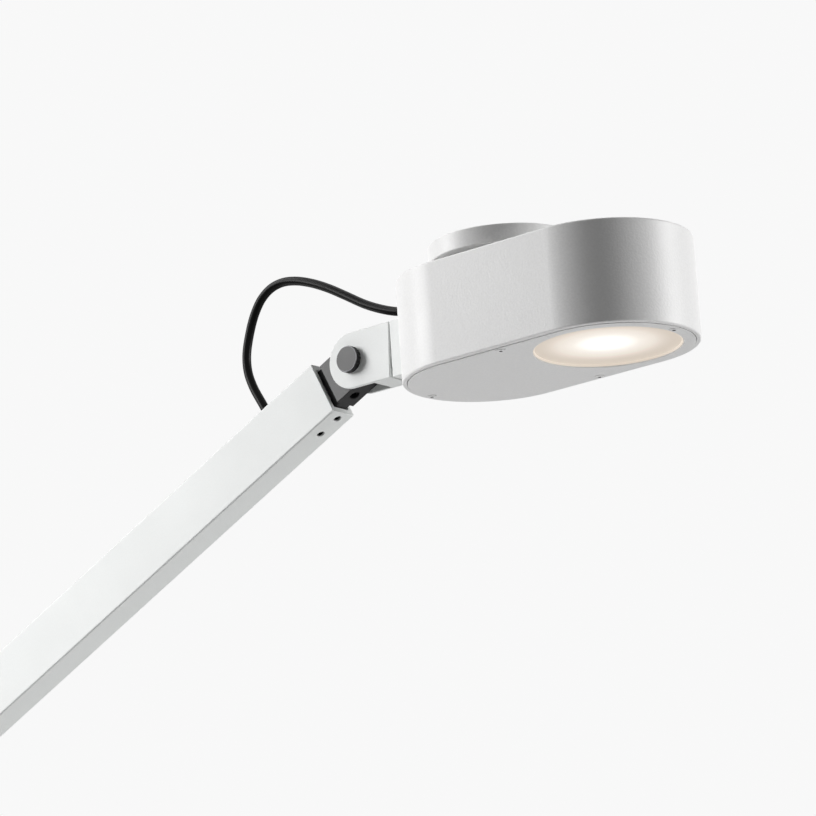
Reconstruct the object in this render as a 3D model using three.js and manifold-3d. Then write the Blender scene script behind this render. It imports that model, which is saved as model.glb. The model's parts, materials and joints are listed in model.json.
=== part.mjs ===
// Adjustable arm floor lamp: round weighted base, upright post, tilting arm and tilting LED head.
// Millimetres, +Z up. The origin is the centre of the base's underside; the arm reaches towards +X.
import * as THREE from "three";
import { mergeVertices } from "three/addons/utils/BufferGeometryUtils.js";
import Module from "manifold-3d";

const wasm = await Module();
wasm.setup();

// ---------- driving dimensions ----------
const clearance = 0.3; // gap between two pieces that seat on or in each other
const degree = Math.PI / 180;

// pose
const elbow_height = 1280; // floor to the elbow pin
const arm_reach = 600; // elbow pin to head pin
const arm_angle = 31.25 * degree; // arm above the horizontal
const head_angle = 6 * degree; // head's long axis above the horizontal

// base
const base_radius = 150;
const base_thickness = 12;
const base_rounding = 3;
const pad_thickness = 2.5;
const pad_inset = 6; // pad's edge inside the plate's edge
const post_setback = 70; // post axis behind the base's centre
const foot_length = 58;
const foot_width = 38;
const foot_thickness = 5;
const foot_corner = 6;
const spigot_height = 70;
const base_bolt_spacing = 16;
const base_bolt_diameter = 6;
const base_bolt_length = 31;
const lead_gland_height = 110; // supply lead's way in, above the foot

// post and arm profile
const tube_height = 36; // wide face, in the plane that the arm swings in
const tube_width = 19.5;
const tube_corner = 1.2;
const tube_side_wall = 3;
const tube_narrow_wall = 4;
const tube_setback = 27; // tube's end to the hinge pin
const set_screw_diameter = 5;
const set_screw_length = 6;
const set_screw_sink = 0.8; // driven end below the tube's face
const set_screw_first = 5.7; // first set screw to the tube's end
const set_screw_spacing = 15.4;
const foot_screw_lift = 14; // the post's lowest pair sits this much higher up

// hinges
const pin_diameter = 8;
const fork_radius = 17.3;
const fork_width = 20.4;
const fork_ear = 2;
const fork_rounding = 0.8;
const slot_depth = 15; // pin to the slot's end
const fork_reach = 30.6; // pin to the fork's end
const knuckle_width = 15.2;
const knuckle_rounding = 0.6;
const shoulder_setback = 23.3; // pin to the knuckle's shoulder
const shank_width = 10;
const shank_length = 36; // shank inside the tube
const washer_diameter = 20;
const washer_seat = 1.2;
const clamp_screw_setback = 14.7;
const clamp_screw_diameter = 6.4;
const clamp_screw_depth = 5;
const clamp_screw_length = 3;
const knob_diameter = 16.4;
const knob_height = 4.3;
const knob_rib_count = 32;
const knob_rib_depth = 0.25;
const pin_head_height = 3;
const pin_in_knob = 1.5; // how far the pin's threaded end reaches into the knob

// arm cable
const cable_diameter = 5.5;
const cable_entry = 75.8; // head pin to the cable's way into the arm
const cable_bore = 6.1;
const bush_wall = 0.9;
const bush_flange = 10.3;
const bush_rim = 1.5;

// head
const head_setback = 141.5; // head pin to the middle of the head
const head_drop = 31.7; // pin height above the head's lower face
const head_half_straight = 43; // middle of the head to the centre of each round end
const head_radius = 53.6;
const head_height = 62;
const head_wall = 2.8;
const head_top = 3;
const head_rounding = 1.2;
const plate_thickness = 3;
const plate_screw_side = 46.7; // side screws to the head's middle plane
const plate_screw_end = 89.8; // end screws to the middle of the head
const plate_screw_diameter = 3;
const boss_radius = 4.2;
const boss_height = 10;
const plate_screw_length = 10;
const gland_height = 54.5; // cable gland above the head's lower face
const seam_wedge = 1.8; // how far the fork's end leans back from the block at the bottom
const bolt_diameter = 4;
const bolt_spacing = 20;
const bolt_plate_depth = 12; // plate inside the head that the bolts screw into
const bolt_plate_width = 18;
const bolt_plate_height = 34;
const bolt_end_gap = 4; // bolt end to the plate's far face

// light units
const lens_centre = 42.4;
const lens_radius = 43.4;
const lens_recess = 1.1; // lens above the cover's lower face
const lens_thickness = 2;
const lens_sides = 44;
const reflector_height = 20;
const reflector_wall = 1.2;
const reflector_lip = 3.2; // lip at its narrow end, which the board rests on
const board_radius = 26;
const board_thickness = 1.6;
const sink_radius = 38;
const sink_height = 26;
const sink_base = 4;
const fin_count = 9;
const fin_thickness = 1.8;
const driver_length = 60;
const driver_width = 40;
const driver_height = 22;
const driver_centre = -48;
const driver_drop = 12; // room above the driver for the button's switch
const drum_centre = -28.7;
const drum_radius = 44.7;
const drum_height = 11.2;
const drum_gap = 5.6;
const drum_wall = 2.4;
const up_lens_thickness = 2.8;
const neck_radius = 30;
const neck_bore = 12;
const button_place = -84;
const button_radius = 5;
const button_proud = 1.2;
const button_travel = 1;
const switch_size = 12;

// ---------- finishes ----------
function finish(color, roughness, metalness) {
  return new THREE.MeshStandardMaterial({ color, roughness, metalness });
}
const white_coat = finish(0xe9eaeb, 0.5, 0);
const dark_coat = finish(0x3a3b3d, 0.5, 0.2);
const black_plastic = finish(0x1b1b1c, 0.5, 0);
const black_rubber = finish(0x161616, 0.8, 0);
const cable_jacket = finish(0x0d0d0e, 0.3, 0);
const bright_steel = finish(0xb8babd, 0.3, 1);
const opal = finish(0xf6efe2, 0.4, 0);
const white_reflector = finish(0xf4f4f2, 0.3, 0);
const bare_aluminium = finish(0xc0c2c4, 0.4, 1);
const nylon = finish(0xd9d5c8, 0.5, 0);

// ---------- solids ----------
const across_x = new THREE.Matrix4().set(0, 0, 1, 0, 1, 0, 0, 0, 0, 1, 0, 0, 0, 0, 0, 1);

function solid(geometry) {
  const bare = geometry.clone();
  bare.deleteAttribute("normal");
  bare.deleteAttribute("uv");
  const merged = mergeVertices(bare, 1e-5);
  const mesh = new wasm.Mesh({
    numProp: 3,
    vertProperties: new Float32Array(merged.attributes.position.array),
    triVerts: new Uint32Array(merged.index.array),
  });
  mesh.merge();
  return new wasm.Manifold(mesh);
}

function geometryOf(body) {
  const { vertProperties, triVerts } = body.getMesh();
  const geometry = new THREE.BufferGeometry();
  geometry.setAttribute("position", new THREE.BufferAttribute(new Float32Array(vertProperties), 3));
  geometry.setIndex(new THREE.BufferAttribute(new Uint32Array(triVerts), 1));
  geometry.computeVertexNormals();
  return geometry;
}

const cut = (body, ...tools) => tools.reduce((rest, tool) => rest.subtract(tool), body);
const join = (body, ...others) => others.reduce((sum, other) => sum.add(other), body);

// A flat shape given thickness along Z, from z = 0 up, with rounded rims.
function plate(shape, height, rounding = 0, curveSegments = 12) {
  const options = {
    depth: height - 2 * rounding,
    curveSegments,
    bevelEnabled: rounding > 0,
    bevelThickness: rounding,
    bevelSize: rounding,
    bevelOffset: -rounding,
    bevelSegments: rounding > 1 ? 2 : 1,
  };
  return new THREE.ExtrudeGeometry(shape, options).translate(0, 0, rounding);
}

// A side outline in X and Z given thickness along Y, centred on the XZ plane.
function slab(shape, width, rounding = 0, curveSegments = 9) {
  const flat = plate(shape, width, rounding, curveSegments);
  return flat.translate(0, 0, -width / 2).rotateX(Math.PI / 2);
}

// A section in Y and Z given length along X, from x = 0.
function beam(shape, length, curveSegments = 2) {
  return plate(shape, length, 0, curveSegments).applyMatrix4(across_x);
}

// A turned piece about Y: the profile's points are [radius, y], from the lowest to the highest.
function turned(profile, segments = 18) {
  return new THREE.LatheGeometry(profile.map(([r, y]) => new THREE.Vector2(r, y)), segments);
}
const upright = (geometry) => geometry.rotateX(Math.PI / 2);

function rod(radius, from, to, segments = 18) {
  const cylinder = new THREE.CylinderGeometry(radius, radius, to - from, segments);
  return cylinder.translate(0, (from + to) / 2, 0);
}

function oblong(width, height, corner) {
  const shape = new THREE.Shape();
  const x = width / 2 - corner;
  const y = height / 2 - corner;
  shape.absarc(x, y, corner, 0, Math.PI / 2);
  shape.absarc(-x, y, corner, Math.PI / 2, Math.PI);
  shape.absarc(-x, -y, corner, Math.PI, 1.5 * Math.PI);
  shape.absarc(x, -y, corner, 1.5 * Math.PI, 2 * Math.PI);
  return shape;
}

function obround(half_straight, radius) {
  const shape = new THREE.Shape();
  shape.absarc(half_straight, 0, radius, -Math.PI / 2, Math.PI / 2);
  shape.absarc(-half_straight, 0, radius, Math.PI / 2, 1.5 * Math.PI);
  return shape;
}

// A side outline that is round about the origin and runs straight to x = reach.
function roundNosed(radius, reach_top, reach_bottom) {
  const shape = new THREE.Shape();
  shape.moveTo(reach_top, radius);
  shape.absarc(0, 0, radius, Math.PI / 2, 1.5 * Math.PI);
  shape.lineTo(reach_bottom, -radius);
  return shape;
}

function polygon(radius, sides) {
  const corners = Array.from({ length: sides }, (_, i) => {
    const angle = (2 * Math.PI * i) / sides;
    return new THREE.Vector2(radius * Math.cos(angle), radius * Math.sin(angle));
  });
  return new THREE.Shape(corners);
}

function add(group, name, shape, material) {
  const geometry = shape.isBufferGeometry ? geometryOf(solid(shape)) : geometryOf(shape);
  const mesh = new THREE.Mesh(geometry, material.clone());
  mesh.name = name;
  group.add(mesh);
  return mesh;
}

// ---------- fasteners, axis along Z with the driven end at z = 0 and the shank below ----------
const socket_share = 0.62; // width across a hex socket's corners, to the screw's diameter
const countersink_share = 0.92; // radius of a countersunk head, to the screw's diameter
const countersink_depth = 0.55; // depth of a countersunk head, to the screw's diameter
const cap_share = 0.85; // radius of a cap head, to the screw's diameter
const screw_sides = 12;

function hexSocket(diameter, depth) {
  const hexagon = polygon((diameter * socket_share) / 2, 6);
  return solid(plate(hexagon, depth + 1).translate(0, 0, -depth));
}

function countersunkScrew(diameter, length) {
  const shaft = diameter / 2;
  const head = diameter * countersink_share;
  const sunk = diameter * countersink_depth;
  const profile = [[0, -length], [shaft, -length], [shaft, -sunk], [head, -0.15], [head, 0], [0, 0]];
  return cut(solid(upright(turned(profile, screw_sides))), hexSocket(diameter, diameter * 0.4));
}

function capScrew(diameter, length) {
  const shaft = diameter / 2;
  const head = diameter * cap_share;
  const profile = [[0, -length], [shaft, -length], [shaft, -diameter], [head, -diameter]];
  profile.push([head, -0.3], [head - 0.3, 0], [0, 0]);
  return cut(solid(upright(turned(profile, screw_sides))), hexSocket(diameter * 1.3, diameter * 0.5));
}

function setScrew(diameter, length) {
  const shank = solid(upright(rod(diameter / 2 - clearance, -length, 0, screw_sides)));
  return cut(shank, hexSocket(diameter, diameter * 0.5));
}

function screwHole(diameter, from, to) {
  return solid(upright(rod(diameter / 2, from, to, screw_sides)));
}

// The space for a countersunk screw that comes up through a plate from z = 0.
function countersink(diameter, thickness) {
  const wide = diameter * countersink_share + clearance;
  const narrow = diameter / 2 + clearance;
  const sunk = diameter * countersink_depth + clearance;
  const profile = [[0, -1], [wide, -1], [wide, 0.1], [narrow, sunk]];
  profile.push([narrow, thickness + 1], [0, thickness + 1]);
  return solid(upright(turned(profile, 16)));
}

// ---------- shared profile ----------
const bush_hole = cable_bore + 2 * (bush_wall + clearance);
const tube_inner_height = tube_height - 2 * tube_narrow_wall;
const tube_inner_width = tube_width - 2 * tube_side_wall;
const shank_height = tube_inner_height - 2 * clearance;
const set_screw_places = [set_screw_first, set_screw_first + set_screw_spacing];
const screwRow = (end, inward) => set_screw_places.map((s) => end + inward * s);

// A tube along X from x = from to x = to, with set-screw holes in its underside at the given places.
function profileTube(from, to, screw_places) {
  const section = oblong(tube_width, tube_height, tube_corner);
  section.holes.push(oblong(tube_inner_width, tube_inner_height, tube_corner / 2));
  const tube = solid(beam(section, to - from).translate(from, 0, 0));
  const underside = -tube_height / 2;
  const hole = screwHole(set_screw_diameter, underside - 1, underside + tube_narrow_wall + 1);
  return cut(tube, ...screw_places.map((x) => hole.translate([x, 0, 0])));
}

// Set screws in a tube's underside: their driven ends look down and sit a little inside the wall.
function addSetScrews(group, name, places) {
  places.forEach((x, i) => {
    const screw = setScrew(set_screw_diameter, set_screw_length).rotate([180, 0, 0]);
    const sunk = -tube_height / 2 + set_screw_sink;
    add(group, `${name}_${i + 1}`, screw.translate([x, 0, sunk]), black_plastic);
  });
}

// Blind holes for those screws in the shank that they hold.
function shankHoles(places) {
  const low = -tube_height / 2 - 1;
  const high = -tube_height / 2 + set_screw_sink + set_screw_length + clearance;
  return places.map((x) => screwHole(set_screw_diameter, low, high).translate([x, 0, 0]));
}

// ---------- hinge: knuckle on the tube's end, fork around it; the pin is at the origin ----------
const hinge_gap = (fork_width - 2 * fork_ear - knuckle_width) / 2;
const shank_root = 4; // how far a shank runs on into the body that carries it

function shankSolid(from, to) {
  const box = new THREE.BoxGeometry(Math.abs(to - from), shank_width, shank_height);
  return solid(box.translate((from + to) / 2, 0, 0));
}

function addKnuckle(group, name, washer_name, clamp_name) {
  const nose = tube_inner_height / 2;
  const outline = roundNosed(nose, shoulder_setback, shoulder_setback);
  const head = solid(slab(outline, knuckle_width, knuckle_rounding).rotateY(Math.PI));
  const shank = shankSolid(shank_root - shoulder_setback, -tube_setback - shank_length);
  const pin_bore = solid(rod(pin_diameter / 2 + clearance, -knuckle_width, knuckle_width));
  const seat = (side) => {
    const floor = side * (knuckle_width / 2 - washer_seat);
    const mouth = side * knuckle_width;
    return solid(rod(washer_diameter / 2 + clearance, Math.min(floor, mouth), Math.max(floor, mouth)));
  };
  const recess = screwHole(clamp_screw_diameter, -nose - 1, -nose + clamp_screw_depth);
  const holes = shankHoles(screwRow(-tube_setback, -1));
  const recess_here = recess.translate([-clamp_screw_setback, 0, 0]);
  const knuckle = cut(join(head, shank), pin_bore, seat(1), seat(-1), recess_here, ...holes);
  add(group, name, knuckle, dark_coat);
  const clamp = setScrew(clamp_screw_diameter, clamp_screw_length).rotate([180, 0, 0]);
  const clamp_height = -nose + clamp_screw_depth - clearance - clamp_screw_length;
  add(group, clamp_name, clamp.translate([-clamp_screw_setback, 0, clamp_height]), black_plastic);
  for (const [side, word] of [[-1, "near"], [1, "far"]]) {
    const inner = knuckle_width / 2 - washer_seat + clearance;
    const outer = knuckle_width / 2 + hinge_gap - clearance;
    const ring = solid(rod(washer_diameter / 2, inner, outer));
    const washer = cut(ring, solid(rod(pin_diameter / 2 + clearance, 0, fork_width)));
    add(group, `${washer_name}_${word}`, side > 0 ? washer : washer.rotate([180, 0, 0]), nylon);
  }
}

// The fork's two ears and the web behind the slot. Its end leans back by wedge at the bottom.
function forkBody(wedge) {
  const outline = roundNosed(fork_radius, fork_reach, fork_reach - wedge);
  const body = solid(slab(outline, fork_width, fork_rounding));
  const slot_height = 3 * fork_radius;
  const slot_width = fork_width - 2 * fork_ear;
  const slot = new THREE.BoxGeometry(slot_depth + 2 * fork_radius, slot_width, slot_height);
  const pin_hole = solid(rod(pin_diameter / 2 + clearance, -fork_width, fork_width));
  return cut(body, solid(slot.translate(slot_depth / 2 - fork_radius, 0, 0)), pin_hole);
}

// Shoulder pin with a round head on the far side and a knurled clamping knob on the near side.
function addPin(group, name) {
  const shaft = pin_diameter / 2;
  const seat = fork_width / 2 + clearance;
  const head = knob_diameter / 2;
  const near_end = -(fork_width / 2 + clearance + pin_in_knob);
  const tip_chamfer = 0.4;
  const head_chamfer = 0.6;
  const crown = seat + pin_head_height;
  const profile = [[0, near_end], [shaft - tip_chamfer, near_end], [shaft, near_end + tip_chamfer]];
  profile.push([shaft, seat], [head, seat], [head, crown - head_chamfer]);
  profile.push([head - head_chamfer, crown], [0, crown]);
  return add(group, name, turned(profile), dark_coat);
}

function addKnob(group, name) {
  const seat = -(fork_width / 2 + clearance);
  const face = seat - knob_height;
  const outline = new THREE.Shape();
  const points = 2 * knob_rib_count;
  for (let i = 0; i < points; i += 1) {
    const radius = knob_diameter / 2 - (i % 2) * knob_rib_depth;
    const angle = (2 * Math.PI * i) / points;
    const place = [radius * Math.cos(angle), radius * Math.sin(angle)];
    if (i === 0) outline.moveTo(...place);
    else outline.lineTo(...place);
  }
  const ribbed = solid(plate(outline, knob_height).rotateX(Math.PI / 2).translate(0, seat, 0));
  const r = knob_diameter / 2;
  const face_chamfer = 0.3;
  const seat_chamfer = 0.4;
  const profile = [[0, face], [r - face_chamfer, face], [r, face + face_chamfer]];
  profile.push([r, seat - seat_chamfer], [r - seat_chamfer, seat], [0, seat]);
  const envelope = solid(turned(profile, 36));
  const bore = solid(rod(pin_diameter / 2 + clearance, seat - pin_in_knob - clearance, seat + 1));
  return add(group, name, cut(ribbed.intersect(envelope), bore), dark_coat);
}

// ---------- the lamp ----------
const lamp = new THREE.Group();

function turnedGroup(parent, x, z, turn) {
  const group = new THREE.Group();
  group.position.set(x, 0, z);
  group.rotation.y = turn;
  parent.add(group);
  return group;
}

// ---------- base ----------
const plate_bottom = pad_thickness + clearance;
const plate_top = plate_bottom + base_thickness;
const foot_bottom = plate_top + clearance;
const post_bottom = foot_bottom + foot_thickness + clearance;

function addBase() {
  const r = base_radius;
  const steps = 3;
  const rounding = Array.from({ length: steps + 1 }, (_, i) => {
    const angle = (i / steps) * 90 * degree;
    const inward = base_rounding * (1 - Math.cos(angle));
    const down = base_rounding * (1 - Math.sin(angle));
    return [r - inward, plate_top - down];
  });
  const profile = [[0, plate_bottom], [r - 1, plate_bottom], [r, plate_bottom + 1]];
  profile.push(...rounding, [0, plate_top]);
  const disc = solid(upright(turned(profile, 48)));
  const sink = countersink(base_bolt_diameter, base_thickness).translate([0, 0, plate_bottom]);
  const places = [1, -1].map((side) => -post_setback + (side * base_bolt_spacing) / 2);
  const holes = places.map((x) => sink.translate([x, 0, 0]));
  add(lamp, "base_plate", cut(disc, ...holes), white_coat);
  const pad = solid(upright(rod(base_radius - pad_inset, 0, pad_thickness, 48)));
  add(lamp, "base_pad", pad, black_rubber);
  places.forEach((x, i) => {
    const bolt = countersunkScrew(base_bolt_diameter, base_bolt_length).rotate([180, 0, 0]);
    add(lamp, `base_bolt_${i + 1}`, bolt.translate([x, 0, plate_bottom + 0.2]), bright_steel);
  });
  const flange = solid(plate(oblong(foot_length, foot_width, foot_corner), foot_thickness, 0.8, 3));
  const spigot_size = [tube_inner_height - 2 * clearance, tube_inner_width - 2 * clearance];
  const spigot = solid(plate(oblong(...spigot_size, tube_corner / 2), spigot_height, 0, 2));
  const tapped_depth = base_bolt_length - base_thickness + 2;
  const tapped = screwHole(base_bolt_diameter + 2 * clearance, -1, tapped_depth);
  const drilled = places.map((x) => tapped.translate([x + post_setback, 0, 0]));
  const set_holes = screwRow(foot_thickness + clearance + foot_screw_lift, 1).map((height) => {
    const floor = tube_height / 2 - set_screw_sink - set_screw_length - clearance;
    const hole = solid(rod(set_screw_diameter / 2, floor, tube_height).rotateZ(-Math.PI / 2));
    return hole.translate([0, 0, height]);
  });
  const foot = cut(join(flange, spigot.translate([0, 0, foot_thickness - 1])), ...drilled, ...set_holes);
  add(lamp, "post_foot", foot.translate([-post_setback, 0, foot_bottom]), dark_coat);
}
addBase();

// ---------- post: modelled along X with the elbow pin at the origin, then stood up ----------
const post = turnedGroup(lamp, -post_setback, elbow_height, -Math.PI / 2);

function addPost() {
  const bottom = post_bottom - elbow_height;
  const low_screws = screwRow(bottom + foot_screw_lift, 1);
  const high_screws = screwRow(-tube_setback, -1);
  const tube = profileTube(bottom, -tube_setback, [...low_screws, ...high_screws]);
  const gland_x = bottom + lead_gland_height;
  const gland_hole = screwHole(bush_hole, 0, tube_height);
  add(post, "post_tube", cut(tube, gland_hole.translate([gland_x, 0, 0])), white_coat);
  addSetScrews(post, "foot_set_screw", low_screws);
  addSetScrews(post, "post_set_screw", high_screws);
  add(post, "lead_gland", bush(tube_narrow_wall).translate([gland_x, 0, tube_height / 2]), black_rubber);
  addKnuckle(post, "post_knuckle", "elbow_washer", "elbow_clamp_screw");
}

// A flanged bush for a cable, its flange above z = 0 and its body below through a wall.
function bush(wall) {
  const body = cable_bore / 2 + bush_wall;
  const flange = bush_flange / 2;
  const bore = cable_bore / 2;
  const profile = [[bore, -wall - 1], [body, -wall - 1], [body, clearance], [flange, clearance]];
  profile.push([flange, bush_rim - 0.5], [flange - 0.5, bush_rim], [bore, bush_rim]);
  profile.push([bore, -wall - 1]);
  return solid(upright(turned(profile, screw_sides)));
}
addPost();

// ---------- arm ----------
const arm = turnedGroup(lamp, -post_setback, elbow_height, -arm_angle);

function addArm() {
  const start = fork_reach + clearance;
  const end = arm_reach - tube_setback;
  const low_screws = screwRow(start, 1);
  const high_screws = screwRow(end, -1);
  const shank = shankSolid(fork_reach - shank_root, fork_reach + shank_length);
  const fork = cut(join(forkBody(0), shank), ...shankHoles(low_screws));
  add(arm, "elbow_fork", fork, white_coat);
  addPin(arm, "elbow_pin");
  addKnob(arm, "elbow_knob");
  const entry = arm_reach - cable_entry;
  const entry_hole = screwHole(bush_hole, 0, tube_height).translate([entry, 0, 0]);
  const tube = profileTube(start, end, [...low_screws, ...high_screws]);
  add(arm, "arm_tube", cut(tube, entry_hole), white_coat);
  addSetScrews(arm, "fork_set_screw", low_screws);
  addSetScrews(arm, "arm_set_screw", high_screws);
  add(arm, "arm_grommet", bush(tube_narrow_wall).translate([entry, 0, tube_height / 2]), black_rubber);
  const tip = turnedGroup(arm, arm_reach, 0, 0);
  addKnuckle(tip, "arm_knuckle", "tilt_washer", "tilt_clamp_screw");
}
addArm();

// ---------- head: x forward from the tilt pin ----------
const head = turnedGroup(arm, arm_reach, 0, arm_angle - head_angle);
const body = turnedGroup(head, head_setback, -head_drop, 0);
const head_back = head_setback - head_half_straight - head_radius; // pin to the head's rear wall
const bolt_places = [1, -1].map((side) => (side * bolt_spacing) / 2);

// The head's outline given height, with its sides moved in by inset.
function headOutline(inset, height, rounding = 0) {
  return solid(plate(obround(head_half_straight, head_radius - inset), height, rounding, 14));
}

// A rod along X between two places, raised to z.
function rodAlong(radius, from, to, z) {
  return solid(rod(radius, from, to, screw_sides).rotateZ(-Math.PI / 2)).translate([0, 0, z]);
}

function addHeadMount() {
  const sunk_radius = bolt_diameter * cap_share + clearance;
  const sunk_end = slot_depth + bolt_diameter + clearance;
  const sinks = bolt_places.map((z) => rodAlong(sunk_radius, slot_depth - 1, sunk_end, z));
  const holes_end = head_back + 2 * bolt_plate_depth; // well past the nut plate
  const through = bolt_places.map((z) => {
    return rodAlong(bolt_diameter / 2 + clearance, slot_depth - 2, holes_end, z);
  });
  add(head, "head_fork", cut(forkBody(seam_wedge), ...through, ...sinks), white_coat);
  addPin(head, "tilt_pin");
  addKnob(head, "tilt_knob");

  const block_start = fork_reach + clearance;
  const block_end = head_back + 6; // past the wall, then cut back to its curve
  const block_outline = new THREE.Shape();
  block_outline.moveTo(block_start, -fork_radius);
  block_outline.lineTo(block_end, -fork_radius);
  block_outline.lineTo(block_end, fork_radius);
  block_outline.lineTo(block_start, fork_radius);
  const block = solid(slab(block_outline, fork_width, fork_rounding));
  const seat = headOutline(-clearance, 3 * head_height);
  const seat_here = seat.translate([head_setback, 0, -head_drop - head_height]);
  add(head, "head_block", cut(block, seat_here, ...through), white_coat);

  const inside = headOutline(head_wall + clearance, head_height);
  const nut_box = new THREE.BoxGeometry(2 * bolt_plate_depth, bolt_plate_width, bolt_plate_height);
  const nut = solid(nut_box.translate(head_back + head_wall, 0, 0));
  const nut_plate = nut.intersect(inside.translate([head_setback, 0, -head_drop]));
  add(head, "bolt_plate", cut(nut_plate, ...through), bright_steel);
  const bolt_end = head_back + head_wall + bolt_plate_depth - bolt_end_gap;
  bolt_places.forEach((z, i) => {
    const bolt = capScrew(bolt_diameter, bolt_end - slot_depth).rotate([0, -90, 0]);
    add(head, `fork_bolt_${i + 1}`, bolt.translate([slot_depth + 0.2, 0, z]), bright_steel);
  });
}
addHeadMount();

const plate_screw_places = [
  ["front", plate_screw_end, 0],
  ["rear", -plate_screw_end, 0],
  ["near", 0, -plate_screw_side],
  ["far", 0, plate_screw_side],
];

function addShell() {
  const outer = headOutline(0, head_height, head_rounding);
  const inner = headOutline(head_wall, head_height - head_top + 1).translate([0, 0, -1]);
  const boss_foot = plate_thickness + clearance;
  const boss_top = boss_foot + boss_height;
  const boss = solid(upright(rod(boss_radius, boss_foot, boss_top, screw_sides)));
  const tapping = screwHole(plate_screw_diameter + 2 * clearance, 0, boss_top + 1);
  const bosses = plate_screw_places.map(([, x, y]) => boss.translate([x, y, 0]));
  const tappings = plate_screw_places.map(([, x, y]) => tapping.translate([x, y, 0]));
  const back = -head_half_straight - head_radius;
  const wallHole = (radius, z) => rodAlong(radius, back - 5, back + 12, z);
  const topHole = (radius, x) => {
    return screwHole(2 * radius, head_height - 2 * head_top, head_height + 1).translate([x, 0, 0]);
  };
  const bolt_holes = bolt_places.map((z) => wallHole(bolt_diameter / 2 + clearance, head_drop + z));
  const gland_hole = wallHole(bush_hole / 2, gland_height);
  const neck_hole = topHole(neck_bore / 2, drum_centre);
  const button_hole = topHole(button_radius + clearance, button_place);
  const shell = join(cut(outer, inner), ...bosses);
  const holes = [...tappings, ...bolt_holes, gland_hole, neck_hole, button_hole];
  add(body, "head_shell", cut(shell, ...holes), white_coat);
  const gland = bush(head_wall).rotate([0, -90, 0]).translate([back - 0.1, 0, gland_height]);
  add(body, "head_gland", gland, black_rubber);
}
addShell();

function addBottomPlate() {
  const blank = headOutline(head_wall + clearance, plate_thickness);
  const sink = countersink(plate_screw_diameter, plate_thickness);
  const sinks = plate_screw_places.map(([, x, y]) => sink.translate([x, y, 0]));
  const window = solid(upright(rod(lens_radius + clearance, -1, plate_thickness + 1, lens_sides)));
  const cover = cut(blank, window.translate([lens_centre, 0, 0]), ...sinks);
  add(body, "bottom_plate", cover, white_coat);
  plate_screw_places.forEach(([word, x, y]) => {
    const screw = countersunkScrew(plate_screw_diameter, plate_screw_length).rotate([180, 0, 0]);
    add(body, `plate_screw_${word}`, screw.translate([x, y, 0.1]), bright_steel);
  });
}
addBottomPlate();

// ---------- light units ----------
function addDownLight() {
  const lens_top = lens_recess + lens_thickness;
  const lens = solid(upright(rod(lens_radius, lens_recess, lens_top, lens_sides)));
  add(body, "down_lens", lens.translate([lens_centre, 0, 0]), opal);
  const low = lens_top + clearance;
  const high = low + reflector_height;
  const mouth = lens_radius - 1;
  const throat = board_radius - reflector_lip;
  const profile = [[mouth - reflector_wall, low], [mouth, low], [board_radius, high - 1]];
  profile.push([board_radius, high], [throat, high], [throat, high - 1]);
  profile.push([mouth - reflector_wall, low]);
  const reflector = solid(upright(turned(profile, 28)));
  add(body, "down_reflector", reflector.translate([lens_centre, 0, 0]), white_reflector);
  const board_low = high + clearance;
  const board = solid(upright(rod(board_radius, board_low, board_low + board_thickness, 28)));
  add(body, "down_led_board", board.translate([lens_centre, 0, 0]), white_reflector);
  const sink_low = board_low + board_thickness + clearance;
  const sink = solid(upright(rod(sink_radius, sink_low, sink_low + sink_height, 28)));
  const pitch = (2 * sink_radius) / fin_count;
  const gaps = Array.from({ length: fin_count }, (_, i) => {
    const middle = -sink_radius + pitch * (i + 0.5);
    const gap = new THREE.BoxGeometry(3 * sink_radius, pitch - fin_thickness, sink_height);
    return solid(gap.translate(0, middle, sink_low + sink_base + sink_height / 2));
  });
  add(body, "heat_sink", cut(sink, ...gaps).translate([lens_centre, 0, 0]), bare_aluminium);
}
addDownLight();

function addUpLight() {
  const bore = neck_bore / 2;
  const addRing = (name, profile, segments, material) => {
    const ring = solid(upright(turned([...profile, profile[0]], segments)));
    add(body, name, ring.translate([drum_centre, 0, 0]), material);
  };
  const washer = (inner_radius, outer_radius, bottom, top) => {
    return [[inner_radius, bottom], [outer_radius, bottom], [outer_radius, top], [inner_radius, top]];
  };
  const neck_low = head_height + clearance;
  const neck_high = head_height + drum_gap - clearance;
  addRing("drum_neck", washer(bore, neck_radius, neck_low, neck_high), 28, dark_coat);
  const low = head_height + drum_gap;
  const high = low + drum_height;
  const inner = drum_radius - drum_wall;
  const edge = 0.6; // rounding of the drum's rims
  const housing = [[bore, low], [drum_radius - edge, low], [drum_radius, low + edge]];
  housing.push([drum_radius, high - edge], [drum_radius - edge, high], [inner, high]);
  housing.push([inner, low + drum_wall], [bore, low + drum_wall]);
  addRing("drum_housing", housing, lens_sides, white_coat);
  const board_low = low + drum_wall + clearance;
  const board = washer(bore + 1, inner - 4, board_low, board_low + board_thickness);
  addRing("up_led_board", board, 28, white_reflector);
  const lens_top = high - edge;
  const lens = solid(upright(rod(inner - clearance, lens_top - up_lens_thickness, lens_top, lens_sides)));
  add(body, "up_lens", lens.translate([drum_centre, 0, 0]), opal);
}
addUpLight();

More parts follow.
